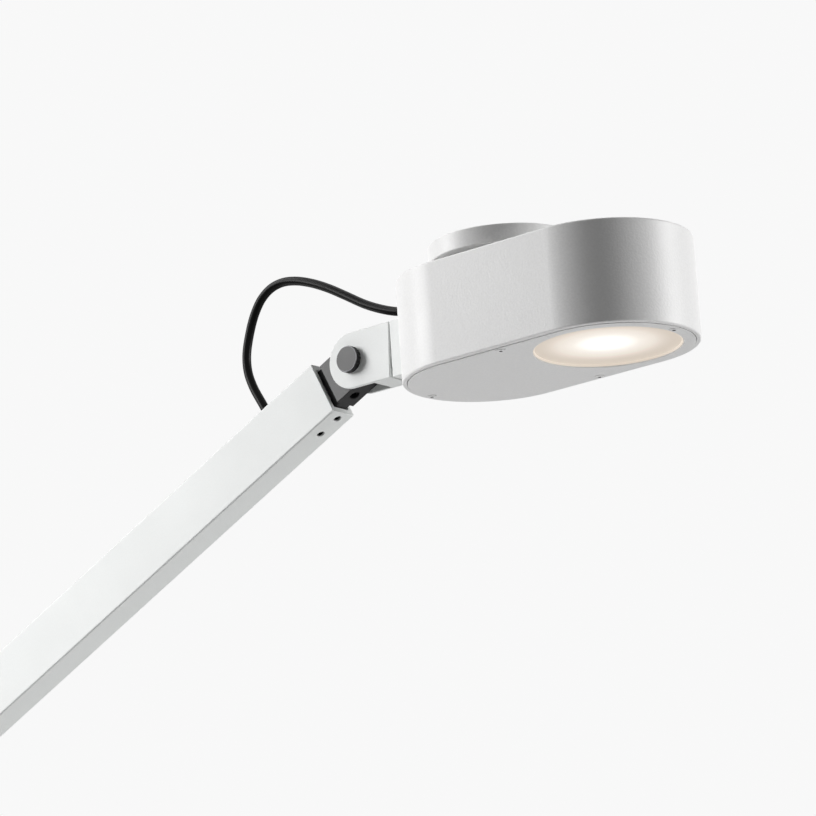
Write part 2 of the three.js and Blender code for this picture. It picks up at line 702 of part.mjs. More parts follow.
function addDriverAndButton() {
  const ceiling = head_height - head_top - clearance;
  const case_solid = solid(plate(oblong(driver_length, driver_width, 3), driver_height, 0.8, 2));
  const case_low = ceiling - driver_height - driver_drop;
  add(body, "led_driver", case_solid.translate([driver_centre, 0, case_low]), white_reflector);
  const top = head_height + button_proud;
  const rim = button_radius + 1.5;
  const rim_low = ceiling - 1;
  const cap = [[0, rim_low], [rim, rim_low], [rim, ceiling], [button_radius, ceiling]];
  cap.push([button_radius, top - 0.5], [button_radius - 0.5, top], [0, top]);
  const button = solid(upright(turned(cap)));
  add(body, "dimmer_button", button.translate([button_place, 0, 0]), dark_coat);
  const switch_top = rim_low - button_travel - clearance;
  const switch_case = new THREE.BoxGeometry(switch_size, switch_size, switch_size / 2);
  const switch_solid = solid(switch_case.translate(button_place, 0, switch_top - switch_size / 4));
  add(body, "button_switch", switch_solid, black_plastic);
}
addDriverAndButton();

// ---------- head cable: out of the arm's top, over the hinge in a loop, into the head's rear ----------
function addCable() {
  // [x, z] from the tilt pin in the lamp's own frame, chosen by hand
  const route = [
    [-67.9, -34.2], [-72.6, -26.5], [-77.3, -18.8], [-86.8, -5], [-91.3, 4.9], [-92.7, 14.9], [-91.2, 26.4],
    [-87.1, 40], [-81.6, 49.2], [-74.2, 55], [-65.1, 57.6], [-54.1, 57.2], [-41.2, 54.2], [-27.7, 49.3],
    [-14.1, 43.1], [1.5, 35.8], [14.5, 31.2], [25.8, 28.4], [34.9, 27.4], [42.3, 27.4], [47.4, 27.9],
  ];
  const points = route.map(([x, z]) => new THREE.Vector3(x, 0, z));
  const path = new THREE.CatmullRomCurve3(points, false, "centripetal");
  const section = polygon(cable_diameter / 2, 8);
  const geometry = new THREE.ExtrudeGeometry(section, { steps: 28, extrudePath: path });
  const x = -post_setback + arm_reach * Math.cos(arm_angle);
  const z = elbow_height + arm_reach * Math.sin(arm_angle);
  const loose = turnedGroup(lamp, x, z, 0);
  add(loose, "head_cable", geometry, cable_jacket);
}
addCable();

export default lamp;
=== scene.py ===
"""Finished surfaces of an adjustable arm floor lamp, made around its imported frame, in metres."""

import json
import math

import bmesh
import bpy
from bpy.props import FloatProperty, FloatVectorProperty, IntProperty, PointerProperty
from mathutils import Matrix, Vector


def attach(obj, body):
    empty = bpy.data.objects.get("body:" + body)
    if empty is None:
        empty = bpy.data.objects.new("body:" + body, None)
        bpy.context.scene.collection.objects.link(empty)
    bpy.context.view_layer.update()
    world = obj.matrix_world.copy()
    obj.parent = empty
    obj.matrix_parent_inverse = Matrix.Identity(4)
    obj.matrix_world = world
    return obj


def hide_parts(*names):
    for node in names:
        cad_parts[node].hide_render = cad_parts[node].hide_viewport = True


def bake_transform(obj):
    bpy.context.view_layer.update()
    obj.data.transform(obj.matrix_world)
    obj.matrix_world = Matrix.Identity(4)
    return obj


bl_info = {
    "name": "Arm Floor Lamp",
    "version": (1, 0, 0),
    "blender": (4, 5, 0),
    "location": "3D View > Sidebar > Lamp",
    "description": "Makes the finished surfaces of an adjustable arm floor lamp",
    "category": "Add Mesh",
}

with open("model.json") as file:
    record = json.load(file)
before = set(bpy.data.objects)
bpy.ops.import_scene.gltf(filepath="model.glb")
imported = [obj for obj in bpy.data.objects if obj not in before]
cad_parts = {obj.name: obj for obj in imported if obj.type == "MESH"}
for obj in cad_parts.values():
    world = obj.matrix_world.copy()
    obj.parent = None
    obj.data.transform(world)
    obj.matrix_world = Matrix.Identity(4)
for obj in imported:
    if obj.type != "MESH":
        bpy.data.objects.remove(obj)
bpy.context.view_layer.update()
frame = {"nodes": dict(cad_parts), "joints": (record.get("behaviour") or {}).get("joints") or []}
NODES = frame["nodes"]
MM = 0.001
CLEARANCE = 0.3 * MM
OVERCUT = 1 * MM  # how far a cutter runs past the face that it cuts
SOCKET_DEPTH = 0.4  # of a cover screw's socket, to the screw's diameter
QUARTER = math.pi / 2


# ---------- places: the frames of the post, the arm, its tip and the head ----------
def joint(name):
    """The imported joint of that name."""
    return next(j for j in frame["joints"] if j["name"] == name)


def pairs(*names):
    """The CAD nodes _1 and _2 of each name."""
    return [f"{name}_{i}" for name in names for i in (1, 2)]


def at(x=0.0, y=0.0, z=0.0):
    """A move by a distance."""
    return Matrix.Translation((x, y, z))


def clear_of(diameter):
    """Radius of a hole that a round piece of that diameter fits in."""
    return diameter / 2 + CLEARANCE


def tilted(origin, rise):
    """A frame at origin whose X axis rises by an angle in the lamp's own plane."""
    return Matrix.Translation(origin) @ Matrix.Rotation(-rise, 4, "Y")


def local_box(node, place):
    """Lowest and highest corner of a CAD node, in a place's own frame."""
    inverse = place.inverted()
    points = [inverse @ vertex.co for vertex in NODES[node].data.vertices]
    low = Vector([min(p[i] for p in points) for i in range(3)])
    high = Vector([max(p[i] for p in points) for i in range(3)])
    return low, high


def local_middle(node, place):
    """Middle of a CAD node's box, in a place's own frame."""
    low, high = local_box(node, place)
    return (low + high) / 2


STAND_SCREWS = pairs("foot_set_screw", "post_set_screw")
ARM_SCREWS = pairs("fork_set_screw", "arm_set_screw")
COVER_SCREWS = [f"plate_screw_{word}" for word in ("front", "rear", "near", "far")]

ELBOW_PIN = Vector(joint("elbow_tilt")["pos_m"])
TILT_PIN = Vector(joint("head_tilt")["pos_m"])
ARM_LINE = TILT_PIN - ELBOW_PIN
ARM_ANGLE = math.atan2(ARM_LINE.z, ARM_LINE.x)
HEAD_ANGLE = math.asin(joint("dimmer_press")["axis"][0])
POST = tilted(ELBOW_PIN, QUARTER)
ARM = tilted(ELBOW_PIN, ARM_ANGLE)
TIP = tilted(TILT_PIN, ARM_ANGLE)
MOUNT = tilted(TILT_PIN, HEAD_ANGLE)
SHELL_LOW, SHELL_HIGH = local_box("head_shell", MOUNT)
SHELL_MIDDLE = Vector(((SHELL_LOW.x + SHELL_HIGH.x) / 2, 0, SHELL_LOW.z))
HEAD = MOUNT @ Matrix.Translation(SHELL_MIDDLE)

WORLD = Matrix()

# turns of a piece that was made about Z
DOWNWARDS = Matrix.Rotation(math.pi, 4, "X")
SIDEWAYS = Matrix.Rotation(QUARTER, 4, "X")  # to -Y, the side that the knobs are on
FARWARDS = Matrix.Rotation(-QUARTER, 4, "X")  # to +Y, the side that the pin heads are on
FORWARDS = Matrix.Rotation(QUARTER, 4, "Y")  # to +X
BACKWARDS = Matrix.Rotation(-QUARTER, 4, "Y")  # to -X
TURNED_BACK = Matrix.Rotation(math.pi, 4, "Y")
ALONG_X = Matrix(((0, 0, 1, 0), (1, 0, 0, 0), (0, 1, 0, 0), (0, 0, 0, 1)))  # X to Y and Y to Z too


# ---------- settings ----------
def watts(name, default):
    """The power of a softbox."""
    return FloatProperty(name=name, description="Power in watts", default=default, min=0)


def length(name, default, description):
    """A size in metres, its default given in millimetres."""
    return FloatProperty(name=name, description=description, default=default * MM, min=0,
                         unit="LENGTH", precision=5)


def colour(name, default, description):
    """A linear colour."""
    return FloatVectorProperty(name=name, description=description, default=default, min=0, max=1,
                               size=3, subtype="COLOR")


def share(name, default, description):
    """A number from 0 to 1."""
    return FloatProperty(name=name, description=description, default=default, min=0, max=1,
                         subtype="FACTOR")


def angle(name, default, description):
    """An angle in radians."""
    return FloatProperty(name=name, description=description, default=default, unit="ROTATION")


class LampFinishes(bpy.types.PropertyGroup):
    """Colours and grain of the lamp's finishes."""

    white: colour("White coat", (0.797, 0.795, 0.792), "Powder coat on the head and the base")
    tube_white: colour("Tube coat", (0.778, 0.795, 0.785), "Powder coat on the tubes and forks")
    dark: colour("Dark coat", (0.0125, 0.012, 0.0125), "Coat on the knuckles, knobs and foot")
    dark_sheen: share("Dark coat roughness", 0.4, "Roughness of the dark coat")
    jacket: colour("Cable jacket", (0.0025, 0.0024, 0.0024), "Colour of the cable's jacket")
    rubber: colour("Rubber", (0.022, 0.022, 0.022), "Colour of the pad, bushes and gland")
    steel: colour("Steel", (0.56, 0.57, 0.58), "Colour of bright screws")
    black_steel: colour("Blackened steel", (0.045, 0.045, 0.047), "Colour of set screws")
    opal: colour("Opal", (0.86, 0.83, 0.78), "Colour of an unlit diffuser")
    glow: FloatProperty(name="Glow", description="Strength of the down light", default=1.0, min=0)
    glow_middle: colour("Glow, middle", (0.91, 0.9, 0.87), "Light at the down light's middle")
    glow_bright: colour("Glow, bright", (0.683, 0.63, 0.562), "Light around the middle")
    glow_warm: colour("Glow, warm", (0.59, 0.52, 0.455), "Light between that and the edge")
    glow_rim: colour("Glow, rim", (0.54, 0.47, 0.4), "Light of the down light's rim")
    glow_edge: colour("Glow, edge", (0.41, 0.34, 0.27), "Light near the down light's rim")
    peel: length("Orange peel", 1.3, "Distance between the powder coat's bumps")
    peel_depth: length("Orange peel depth", 0.028, "Height of the powder coat's bumps")
    sheen: share("Coat roughness", 0.42, "Roughness of the powder coat")


class LampStudio(bpy.types.PropertyGroup):
    """Camera and light."""

    eye: FloatVectorProperty(
        name="Eye", description="Camera's place from the tilt pin", size=3, unit="LENGTH",
        default=(1.9701, -2.3244, -0.6138),
    )
    yaw: angle("Yaw", 0.6939, "Camera's turn to the left of +Y")
    pitch: angle("Pitch", 0.1902, "Camera's tilt upwards")
    roll: angle("Roll", 0.0152, "Camera's roll about its line of sight")
    lens: FloatProperty(name="Lens", description="Focal length in mm", default=228.2, min=1)
    backdrop: colour("Backdrop", (0.94, 0.94, 0.94), "Colour behind the lamp")
    floor: colour("Floor", (0.8, 0.8, 0.8), "Colour of the floor")
    floor_gloss: share("Floor in gloss", 0.25, "How pale the floor is in reflections")
    shadow: share("Shadow", 0.55, "How pale the floor stays close under the lamp")
    shadow_reach: length("Shadow reach", 250, "How far the soft shadow on the floor reaches")
    ambient: FloatProperty(name="Ambient", description="Strength of the light from all round",
                           default=0, min=0)
    left: watts("Left softbox", 37)
    left_high: watts("High left softbox", 21)
    left_low: watts("Low left softbox", 10)
    right: watts("Right softbox", 37)
    right_low: watts("Low right softbox", 5)
    low: watts("Low softbox", 2.5)
    top: watts("Top softbox", 12)


class LampTubes(bpy.types.PropertyGroup):
    """Sizes of the post's and the arm's profile."""

    corner: length("Corner", 1.2, "Outer corner radius of the profile")
    side_wall: length("Side wall", 3, "Thickness of the wide walls")
    narrow_wall: length("Narrow wall", 4, "Thickness of the narrow walls")
    hole_chamfer: length("Hole chamfer", 0.25, "Chamfer round each hole")
    end_chamfer: length("End chamfer", 0.25, "Chamfer at each sawn end")


class LampHinges(bpy.types.PropertyGroup):
    """Sizes of the two clevis hinges."""

    ear: length("Ear", 2, "Thickness of each fork ear")
    slot: length("Slot", 15, "Pin to the slot's end")
    reach: length("Reach", 30.6, "Pin to the end of the fork")
    wedge: length("Wedge", 1.8, "How far the head fork's end leans back at the bottom")
    shoulder: length("Shoulder", 23.3, "Pin to the knuckle's shoulder")
    shank_width: length("Shank width", 10, "Width of a shank inside its tube")
    shank_height: length("Shank height", 27.4, "Height of a shank inside its tube")
    shank_root: length("Shank root", 4, "How far a shank runs on into its block")
    fork_rounding: length("Fork rounding", 0.7, "Rounding of the fork's edges")
    knuckle_rounding: length("Knuckle rounding", 0.5, "Rounding of the knuckle's edges")
    pin: length("Pin", 8, "Pin diameter")
    washer_seat: length("Washer seat", 1.2, "Depth of each washer's seat")
    recess: length("Clamp recess", 6.4, "Diameter of the clamp screw's recess")
    recess_depth: length("Recess depth", 5, "Depth of the clamp screw's recess")
    pin_in_knob: length("Pin in knob", 1.5, "How far the pin reaches into the knob")
    ribs: IntProperty(name="Knob ribs", description="Ribs round each knob", default=32, min=3)
    rib_depth: length("Rib depth", 0.25, "Depth between the knob's ribs")
    knob_bevel: length("Knob bevel", 0.35, "Bevel round the knob's face")
    knob_coat: length("Knob coat", 0.1, "How far the knob's body stays inside that bevel")


class LampHead(bpy.types.PropertyGroup):
    """Sizes of the head's housings."""

    wall: length("Wall", 2.8, "Thickness of the head's side wall")
    ceiling: length("Top", 3, "Thickness of the head's top")
    rounding: length("Rounding", 1.2, "Rounding of the head's outer edges")
    seam: length("Seam chamfer", 0.3, "Chamfer on both sides of the cover's seam")
    proud: length("Cover, proud", 0.4, "How far the cover stands out below the wall")
    lens_rim: length("Lens rim", 0.5, "Width of the raised rim of the lower lens")
    lens_sunk: length("Lens sunk", 0.1, "Height of that rim above the wall's lower edge")
    drum_wall: length("Drum wall", 2.4, "Thickness of the drum's wall")
    drum_rounding: length("Drum rounding", 0.8, "Rounding of the drum's edges")
    bolt: length("Bolt", 4, "Diameter of the bolts into the head")
    bolt_cap: length("Bolt head", 6.8, "Diameter of those bolts' heads")
    boss: length("Boss", 8.4, "Diameter of the bosses for the cover's screws")
    boss_height: length("Boss height", 10, "Height of those bosses")
    neck_bore: length("Neck bore", 12, "Bore of the up light's neck")
    button: length("Button", 10, "Diameter of the dimmer's button")


class LampBase(bpy.types.PropertyGroup):
    """Sizes of the base."""

    rounding: length("Rounding", 3, "Rounding of the base's upper edge")
    foot_height: length("Foot height", 5, "Thickness of the post's flange")
    foot_corner: length("Foot corner", 6, "Corner radius of the post's flange")
    spigot_width: length("Spigot width", 12.9, "Width of the spigot inside the post")
    tapped_depth: length("Tapped depth", 21, "Depth of the bolts' holes in the foot")
    foot_rounding: length("Foot rounding", 0.9, "Rounding of the flange's upper edge")


class LampCable(bpy.types.PropertyGroup):
    """Sizes of the head's cable."""

    diameter: length("Diameter", 5.5, "Diameter of the jacket")
    bore: length("Bush bore", 6.1, "Bore of each bush")
    bush: length("Bush", 7.9, "Diameter of each bush in its wall")
    flange: length("Bush flange", 10.3, "Diameter of each bush's flange")
    rim: length("Bush rim", 1.5, "Height of each bush's flange")
    bend_start: length("Bend start", 75, "How far behind the pin the cable starts to turn")
    bend_end: length("Bend end", 40, "How far past the pin it turns with the head")


class LampScrews(bpy.types.PropertyGroup):
    """Sizes of the screws."""

    set_diameter: length("Set screw", 4.4, "Diameter of the tubes' set screws")
    set_hole: length("Set screw hole", 5, "Holes in the tubes for them")
    set_length: length("Set screw length", 6, "Length of the tubes' set screws")
    clamp_diameter: length("Clamp screw", 5.8, "Diameter of the knuckles' clamp screws")
    clamp_length: length("Clamp screw length", 3, "Length of the knuckles' clamp screws")
    plate_diameter: length("Cover screw", 3, "Diameter of the screws in the head's cover")
    plate_length: length("Cover screw length", 10, "Length of the screws in the head's cover")
    base_diameter: length("Base bolt", 6, "Diameter of the bolts under the base")
    countersink: share("Countersunk head", 0.92, "Its radius, to the screw's diameter")
    rise: share("Raised head", 0.27, "Height of the raised head, to the screw's diameter")
    countersink_depth: share("Countersunk depth", 0.55, "Its depth, to the screw's diameter")
    socket: share("Hex socket", 0.78, "Width across its corners, to the screw's diameter")


SETTINGS = {
    "finishes": LampFinishes, "studio": LampStudio, "tubes": LampTubes, "hinges": LampHinges,
    "head": LampHead, "base": LampBase, "cable": LampCable, "screws": LampScrews,
}


class LampSettings(bpy.types.PropertyGroup):
    """All of the lamp's settings."""

    __annotations__ = {name: PointerProperty(type=group) for name, group in SETTINGS.items()}


def settings():
    """The lamp's settings in this scene."""
    return bpy.context.scene.lamp


# ---------- outlines and meshes ----------
def arc(centre, radius, start, end, steps):
    """Points on an arc from one angle to another, both ends included."""
    angles = [start + (end - start) * i / steps for i in range(steps + 1)]
    return [(centre[0] + radius * math.cos(a), centre[1] + radius * math.sin(a)) for a in angles]


def obround(half_straight, radius, steps=56):
    """A round-ended outline along X."""
    front = arc((half_straight, 0), radius, -QUARTER, QUARTER, steps)
    back = arc((-half_straight, 0), radius, QUARTER, 3 * QUARTER, steps)
    return front + back


def oblong(width, height, corner, steps=8):
    """A rectangle with round corners."""
    x, y = width / 2 - corner, height / 2 - corner
    centres = [(x, y), (-x, y), (-x, -y), (x, -y)]
    return [
        point
        for i, centre in enumerate(centres)
        for point in arc(centre, corner, i * QUARTER, (i + 1) * QUARTER, steps)
    ]


def skin(rings, closed=False):
    """A body from rings of points, joined in order and capped at both ends, or closed to a ring."""
    bm = bmesh.new()
    loops = [[bm.verts.new(point) for point in ring] for ring in rings]
    pairs = list(zip(loops, loops[1:]))
    if closed:
        pairs.append((loops[-1], loops[0]))
    else:
        bm.faces.new(reversed(loops[0]))
        bm.faces.new(loops[-1])
    for low, high in pairs:
        for i in range(len(low)):
            j = (i + 1) % len(low)
            bm.faces.new((low[i], low[j], high[j], high[i]))
    bmesh.ops.remove_doubles(bm, verts=bm.verts, dist=1e-7)
    bmesh.ops.recalc_face_normals(bm, faces=bm.faces)
    mesh = bpy.data.meshes.new("part")
    bm.to_mesh(mesh)
    bm.free()
    return mesh


def turned(profile, segments=96, closed=False):
    """A body turned about Z from [radius, z] points; a closed one is a ring."""
    rings = []
    for radius, z in profile:
        angles = [math.tau * i / segments for i in range(segments)]
        rings.append([(radius * math.cos(a), radius * math.sin(a), z) for a in angles])
    return skin(rings, closed)


def disc(radius, chain, segments):
    """A round body from [inset, z] points."""
    return turned([(radius - inset, z) for inset, z in chain], segments)


def stacked(outline, chain):
    """A body whose section is outline(inset) at each [inset, z] of a chain."""
    return skin([[(x, y, z) for x, y in outline(inset)] for inset, z in chain])


def rod(radius, low, high, segments=48):
    """A plain round rod along Z, for cutting and for small parts."""
    return turned([(radius, low), (radius, high)], segments)


def moved(mesh, matrix):
    """A mesh moved to another place."""
    mesh.transform(matrix)
    return mesh


def added(name, data):
    """A new object in the scene."""
    thing = bpy.data.objects.new(name, data)
    bpy.context.scene.collection.objects.link(thing)
    return thing


def baked(mesh, modifiers, helpers=()):
    """A mesh after [kind, values] modifiers, which may use helper objects that are then removed."""
    blank = added("blank", mesh)
    for kind, values in modifiers:
        modifier = blank.modifiers.new(kind, kind)
        for key, value in values.items():
            if hasattr(modifier, key):
                setattr(modifier, key, value)
            else:  # an input of a Geometry Nodes tree, by its identifier
                modifier[key] = value
    graph = bpy.context.evaluated_depsgraph_get()
    result = bpy.data.meshes.new_from_object(blank.evaluated_get(graph))
    for helper in [blank, *helpers]:
        bpy.data.objects.remove(helper)
    return result


def combined(kind, mesh, tools):
    """A mesh after a boolean with each tool in turn."""
    helpers = [added("tool", tool) for tool in tools]
    values = {"operation": kind, "solver": "EXACT"}
    modifiers = [("BOOLEAN", {**values, "object": helper}) for helper in helpers]
    return baked(mesh, modifiers, helpers)


def cut(mesh, *tools):
    """A mesh with the space of each tool taken out of it."""
    return combined("DIFFERENCE", mesh, tools)


def fused(mesh, *others):
    """One body from several that overlap."""
    return combined("UNION", mesh, others)


def eased(mesh, width, segments, limit):
    """A mesh with its edges rounded where they are sharper than a limit in degrees."""
    values = {"width": width, "segments": segments, "limit_method": "ANGLE"}
    return baked(mesh, [("BEVEL", {**values, "angle_limit": math.radians(limit)})])


def shade(mesh, limit=32):
    """A mesh shaded smooth, creased at edges sharper than a limit in degrees, large faces first."""
    for polygon in mesh.polygons:
        polygon.use_smooth = True
    mesh.set_sharp_from_angle(angle=math.radians(limit))
    return baked(mesh, [("WEIGHTED_NORMAL", {"mode": "FACE_AREA", "keep_sharp": True})])


def add_piece(name, mesh, place, finish_name, body, slot, *nodes):
    """A finished piece that rides on a body and stands for CAD nodes; its place is in its mesh."""
    moved(mesh, place)
    if finish_name:
        mesh.materials.clear()
        mesh.materials.append(finish(finish_name))
    mesh = shade(mesh)
    mesh.name = name
    piece = added(name, mesh)
    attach(piece, body)
    if nodes:
        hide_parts(*nodes)


def dress(finish_name, *nodes):
    """Gives CAD nodes that are shown as they are their finish."""
    for node in nodes:
        for slot in NODES[node].material_slots:
            slot.material = finish(finish_name)


# ---------- node graphs ----------
def operation(name, reflected=False):
    """A method that puts a wire and another value, in that order or reflected, into a Math node."""

    def method(self, other):
        first, second = (other, self) if reflected else (self, other)
        return self.graph.node("ShaderNodeMath", {"operation": name}, {0: first, 1: second})

    return method


class Wire:
    """An output socket that Python arithmetic works on."""

    def __init__(self, graph, socket):
        self.graph = graph
        self.socket = socket

    __add__ = __radd__ = operation("ADD")
    __sub__, __rsub__ = operation("SUBTRACT"), operation("SUBTRACT", reflected=True)
    __mul__ = __rmul__ = operation("MULTIPLY")
    __truediv__, __rtruediv__ = operation("DIVIDE"), operation("DIVIDE", reflected=True)
    __pow__, __rpow__ = operation("POWER"), operation("POWER", reflected=True)
    at_least = operation("MAXIMUM")


class Graph:
    """Makes the nodes of one tree."""

    def __init__(self, tree):
        self.tree = tree
        tree.nodes.clear()

    def node(self, kind, settings=None, sockets=None, output=0):
        """A node of a kind, with its settings made first and then its sockets' values or links."""
        made = self.tree.nodes.new(kind)
        for key, value in (settings or {}).items():
            if key == "stops":
                set_stops(made.color_ramp, value)
            else:
                setattr(made, key, value)
        for key, value in (sockets or {}).items():
            if isinstance(value, Wire):
                self.tree.links.new(value.socket, made.inputs[key])
            else:
                made.inputs[key].default_value = value
        return Wire(self, made.outputs[output]) if output is not None else made

    def mix(self, low, high, factor):
        """A colour between two colours."""
        values = {0: factor, 6: opaque(low), 7: opaque(high)}
        return self.node("ShaderNodeMix", {"data_type": "RGBA"}, values, output=2)

    def vector(self, name, first, second=(0, 0, 0), output=0):
        """One Vector Math node."""
        values = {0: first, 1: second}
        return self.node("ShaderNodeVectorMath", {"operation": name}, values, output)

    def wave(self, value):
        """A sine from 0 to 1."""
        return self.node("ShaderNodeMath", {"operation": "SINE"}, {0: value}) * 0.5 + 0.5

    def span(self, value, low, high, to_low=0.0, to_high=1.0):
        """A value moved smoothly from one range to another, and held inside it."""
        values = {0: value, 1: low, 2: high, 3: to_low, 4: to_high}
        return self.node("ShaderNodeMapRange", {"interpolation_type": "SMOOTHSTEP"}, values)


def opaque(value):
    """A colour with its alpha, or a wire as it is."""
    return value if isinstance(value, Wire) else (*tuple(value)[:3], 1.0)


def seen_ray(graph, in_gloss=1.0):
    """1 for a ray that shows its surface to the camera, and a share of that for one in gloss."""
    path = graph.node("ShaderNodeLightPath", output=None)
    names = ("Is Camera Ray", "Is Glossy Ray", "Is Transmission Ray")
    camera, glossy, through = (Wire(graph, path.outputs[name]) for name in names)
    return camera.at_least(glossy * in_gloss).at_least(through)


def set_stops(ramp, stops):
    """Sets a colour ramp's stops from [place, colour] pairs."""
    while len(ramp.elements) > 1:
        ramp.elements.remove(ramp.elements[-1])
    for i, (place, value) in enumerate(stops):
        element = ramp.elements[0] if i == 0 else ramp.elements.new(place)
        element.position = place
        element.color = opaque(value)


def scaled(value, factor):
    """A colour made darker or lighter."""
    return tuple(min(1.0, channel * factor) for channel in tuple(value)[:3])


# ---------- finishes ----------
class Coat(Graph):
    """A material on Object coordinates, ended by one Principled shader."""

    def __init__(self, name):
        self.material = bpy.data.materials.new(name)
        self.material.use_nodes = True
        super().__init__(self.material.node_tree)
        self.place = self.node("ShaderNodeTexCoord", output=3)

    def noise(self, scale, detail=2.0, roughness=0.6):
        """Noise from 0 to 1."""
        values = {"Vector": self.place, "Scale": scale, "Detail": detail, "Roughness": roughness}
        return self.node("ShaderNodeTexNoise", None, values)

    def end(self, constants, base, roughness, height=None, depth=0.0, glow=None):
        """Joins up the shader, its own sockets set by constants, with bumps of a depth if any."""
        values = {"Base Color": opaque(base), "Roughness": roughness, **constants}
        if glow is not None:
            values["Emission Color"] = glow
        if height is not None:
            bump = {"Height": height, "Distance": depth, "Strength": 1.0}
            values["Normal"] = self.node("ShaderNodeBump", None, bump)
        shader = self.node("ShaderNodeBsdfPrincipled", None, values)
        self.node("ShaderNodeOutputMaterial", None, {"Surface": shader}, output=None)
        return self.material


def powder_coat(name, base, sheen, peel_size, peel_depth, peel_light_and_shade=1.0):
    """Orange-peel powder coat: small rounded bumps, a finer grain and slow changes of sheen, with
    painted light on the bumps' tops and painted shade in their valleys and pits.
    """
    coat = Coat(name)
    peel = coat.noise(1 / peel_size, 2.0, 0.45)
    grain = coat.noise(3.1 / peel_size, 1.0, 0.5)
    drift = coat.noise(22.0, 2.0, 0.5)
    bumps = coat.span(peel, 0.32, 0.7)
    pits = coat.span(grain, 0.62, 0.74)
    # painted light and shade: the peel's tops a touch lighter, its valleys and pits darker
    tone = coat.mix(scaled(base, 1 - 0.035 * peel_light_and_shade), scaled(base, 1 + 0.01 * peel_light_and_shade), bumps)
    tone = coat.mix(tone, scaled(base, 0.9), pits * (0.35 * peel_light_and_shade))
    roughness = drift * 0.1 + bumps * 0.07 + (sheen - 0.08)
    height = bumps + grain * 0.3 - pits * 0.25
    return coat.end({}, tone, roughness, height, peel_depth)


def dark_coat(name, finishes):
    """Satin black coat over machined metal, with faint tool lines and a fine grain."""
    coat = Coat(name)
    grain = coat.noise(2600.0)
    drift = coat.noise(60.0, 2.0, 0.5)
    speck = coat.span(grain, 0.55, 0.75)
    tone = coat.mix(scaled(finishes.dark, 0.85), scaled(finishes.dark, 1.35), speck)
    roughness = drift * 0.12 + grain * 0.08 + (finishes.dark_sheen - 0.1)
    return coat.end({"Specular IOR Level": 0.35}, tone, roughness, grain, 0.008 * MM)


def moulded(name, base, roughness, grain, depth, constants=None):
    """A moulded surface with a fine spark-eroded grain and a few scuffs."""
    coat = Coat(name)
    speckle = coat.noise(1 / grain, 3.0, 0.6)
    cloud = coat.noise(40.0, 2.0, 0.5)
    tone = coat.mix(scaled(base, 0.85), scaled(base, 1.12), speckle)
    varied = cloud * 0.12 + speckle * 0.05 + (roughness - 0.08)
    return coat.end(constants or {}, tone, varied, speckle, depth)


def machined(name, base, roughness, axis=(0, 1, 0), pitch=0.35):
    """Turned or milled metal: fine tool lines across an axis, and a slow change of sheen."""
    coat = Coat(name)
    along = coat.vector("DOT_PRODUCT", coat.place, axis, output=1)
    swirl = coat.noise(320.0, 2.0, 0.55)
    lines = coat.wave(along * (math.tau / (pitch * MM)) + swirl * 4.0)
    tone = coat.mix(scaled(base, 0.82), scaled(base, 1.08), swirl)
    sheen = swirl * 0.12 + lines * 0.04 + (roughness - 0.05)
    return coat.end({"Metallic": 1.0}, tone, sheen, lines, 0.003 * MM)


def board_white(name, finishes):
    """White solder mask with a faint pattern of tracks under it."""
    coat = Coat(name)
    grid = {0: coat.place, "Scale": 420.0}
    place = coat.node("ShaderNodeVectorMath", {"operation": "SCALE"}, grid)
    cells = {"distance": "CHEBYCHEV", "feature": "F1"}
    tracks = coat.node("ShaderNodeTexVoronoi", cells, {"Vector": place, "Scale": 1.0})
    edge = coat.span(tracks, 0.42, 0.5)
    grain = coat.noise(900.0, 2.0, 0.5)
    tone = coat.mix((0.78, 0.79, 0.77), (0.68, 0.7, 0.67), edge)
    return coat.end({}, tone, grain * 0.1 + 0.32, edge, 0.02 * MM)


def led_chip(name, finishes):
    """Yellow phosphor of an LED."""
    coat = Coat(name)
    grain = coat.noise(2500.0)
    tone = coat.mix((0.72, 0.5, 0.09), (0.82, 0.62, 0.18), grain)
    return coat.end({"Coat Weight": 0.6}, tone, grain * 0.15 + 0.3, grain, 0.02 * MM)


def opal(name, finishes):
    """Opal diffuser with fine diffusing grain."""
    coat = Coat(name)
    grain = coat.noise(1800.0)
    cloud = coat.noise(45.0, 2.0, 0.5)
    tone = coat.mix(scaled(finishes.opal, 0.96), scaled(finishes.opal, 1.02), cloud)
    constants = {"Subsurface Weight": 0.2, "Subsurface Scale": 2 * MM}
    return coat.end(constants, tone, grain * 0.08 + 0.32, grain, 0.01 * MM)


def lit_opal(name, finishes):
    """Opal diffuser with the LEDs alight behind it, brightest near the middle."""
    coat = Coat(name)
    low, high = local_box("down_lens", HEAD)
    middle, radius = (low + high) / 2, (high.x - low.x) / 2
    axis = HEAD.to_3x3() @ Vector((0, 0, 1))

    def from_axis(point):
        """Distance from the lens's axis, moved to go through a point of the head."""
        offset = coat.vector("SUBTRACT", coat.place, tuple(HEAD @ point))
        height = coat.vector("DOT_PRODUCT", offset, tuple(axis), output=1)
        reach = coat.vector("LENGTH", offset, output=1)
        return (reach * reach - height * height).at_least(0.0) ** 0.5

    brightest = middle + Vector((0.04, -0.09, 0)) * radius
    radial = from_axis(brightest) / radius
    grain = coat.noise(1800.0)
    falloff = coat.span(radial, 0.13, 0.94, 1.0, 0.0)
    stops = [(0.0, finishes.glow_edge), (0.3, finishes.glow_warm), (0.65, finishes.glow_bright)]
    stops.append((1.0, finishes.glow_middle))
    glow = coat.node("ShaderNodeValToRGB", {"stops": stops}, {0: falloff})
    inner = radius - settings().head.lens_rim
    rim = coat.span(from_axis(middle), inner - 0.3 * MM, inner - 0.2 * MM)
    glow = coat.mix(glow, finishes.glow_rim, rim)
    glow = coat.mix(glow, finishes.glow_middle, grain * 0.02)
    tone = coat.mix(scaled(finishes.opal, 0.4), scaled(finishes.opal, 0.42), grain)
    constants = {"Emission Strength": finishes.glow}
    return coat.end(constants, tone, grain * 0.08 + 0.3, grain, 0.008 * MM, glow=glow)


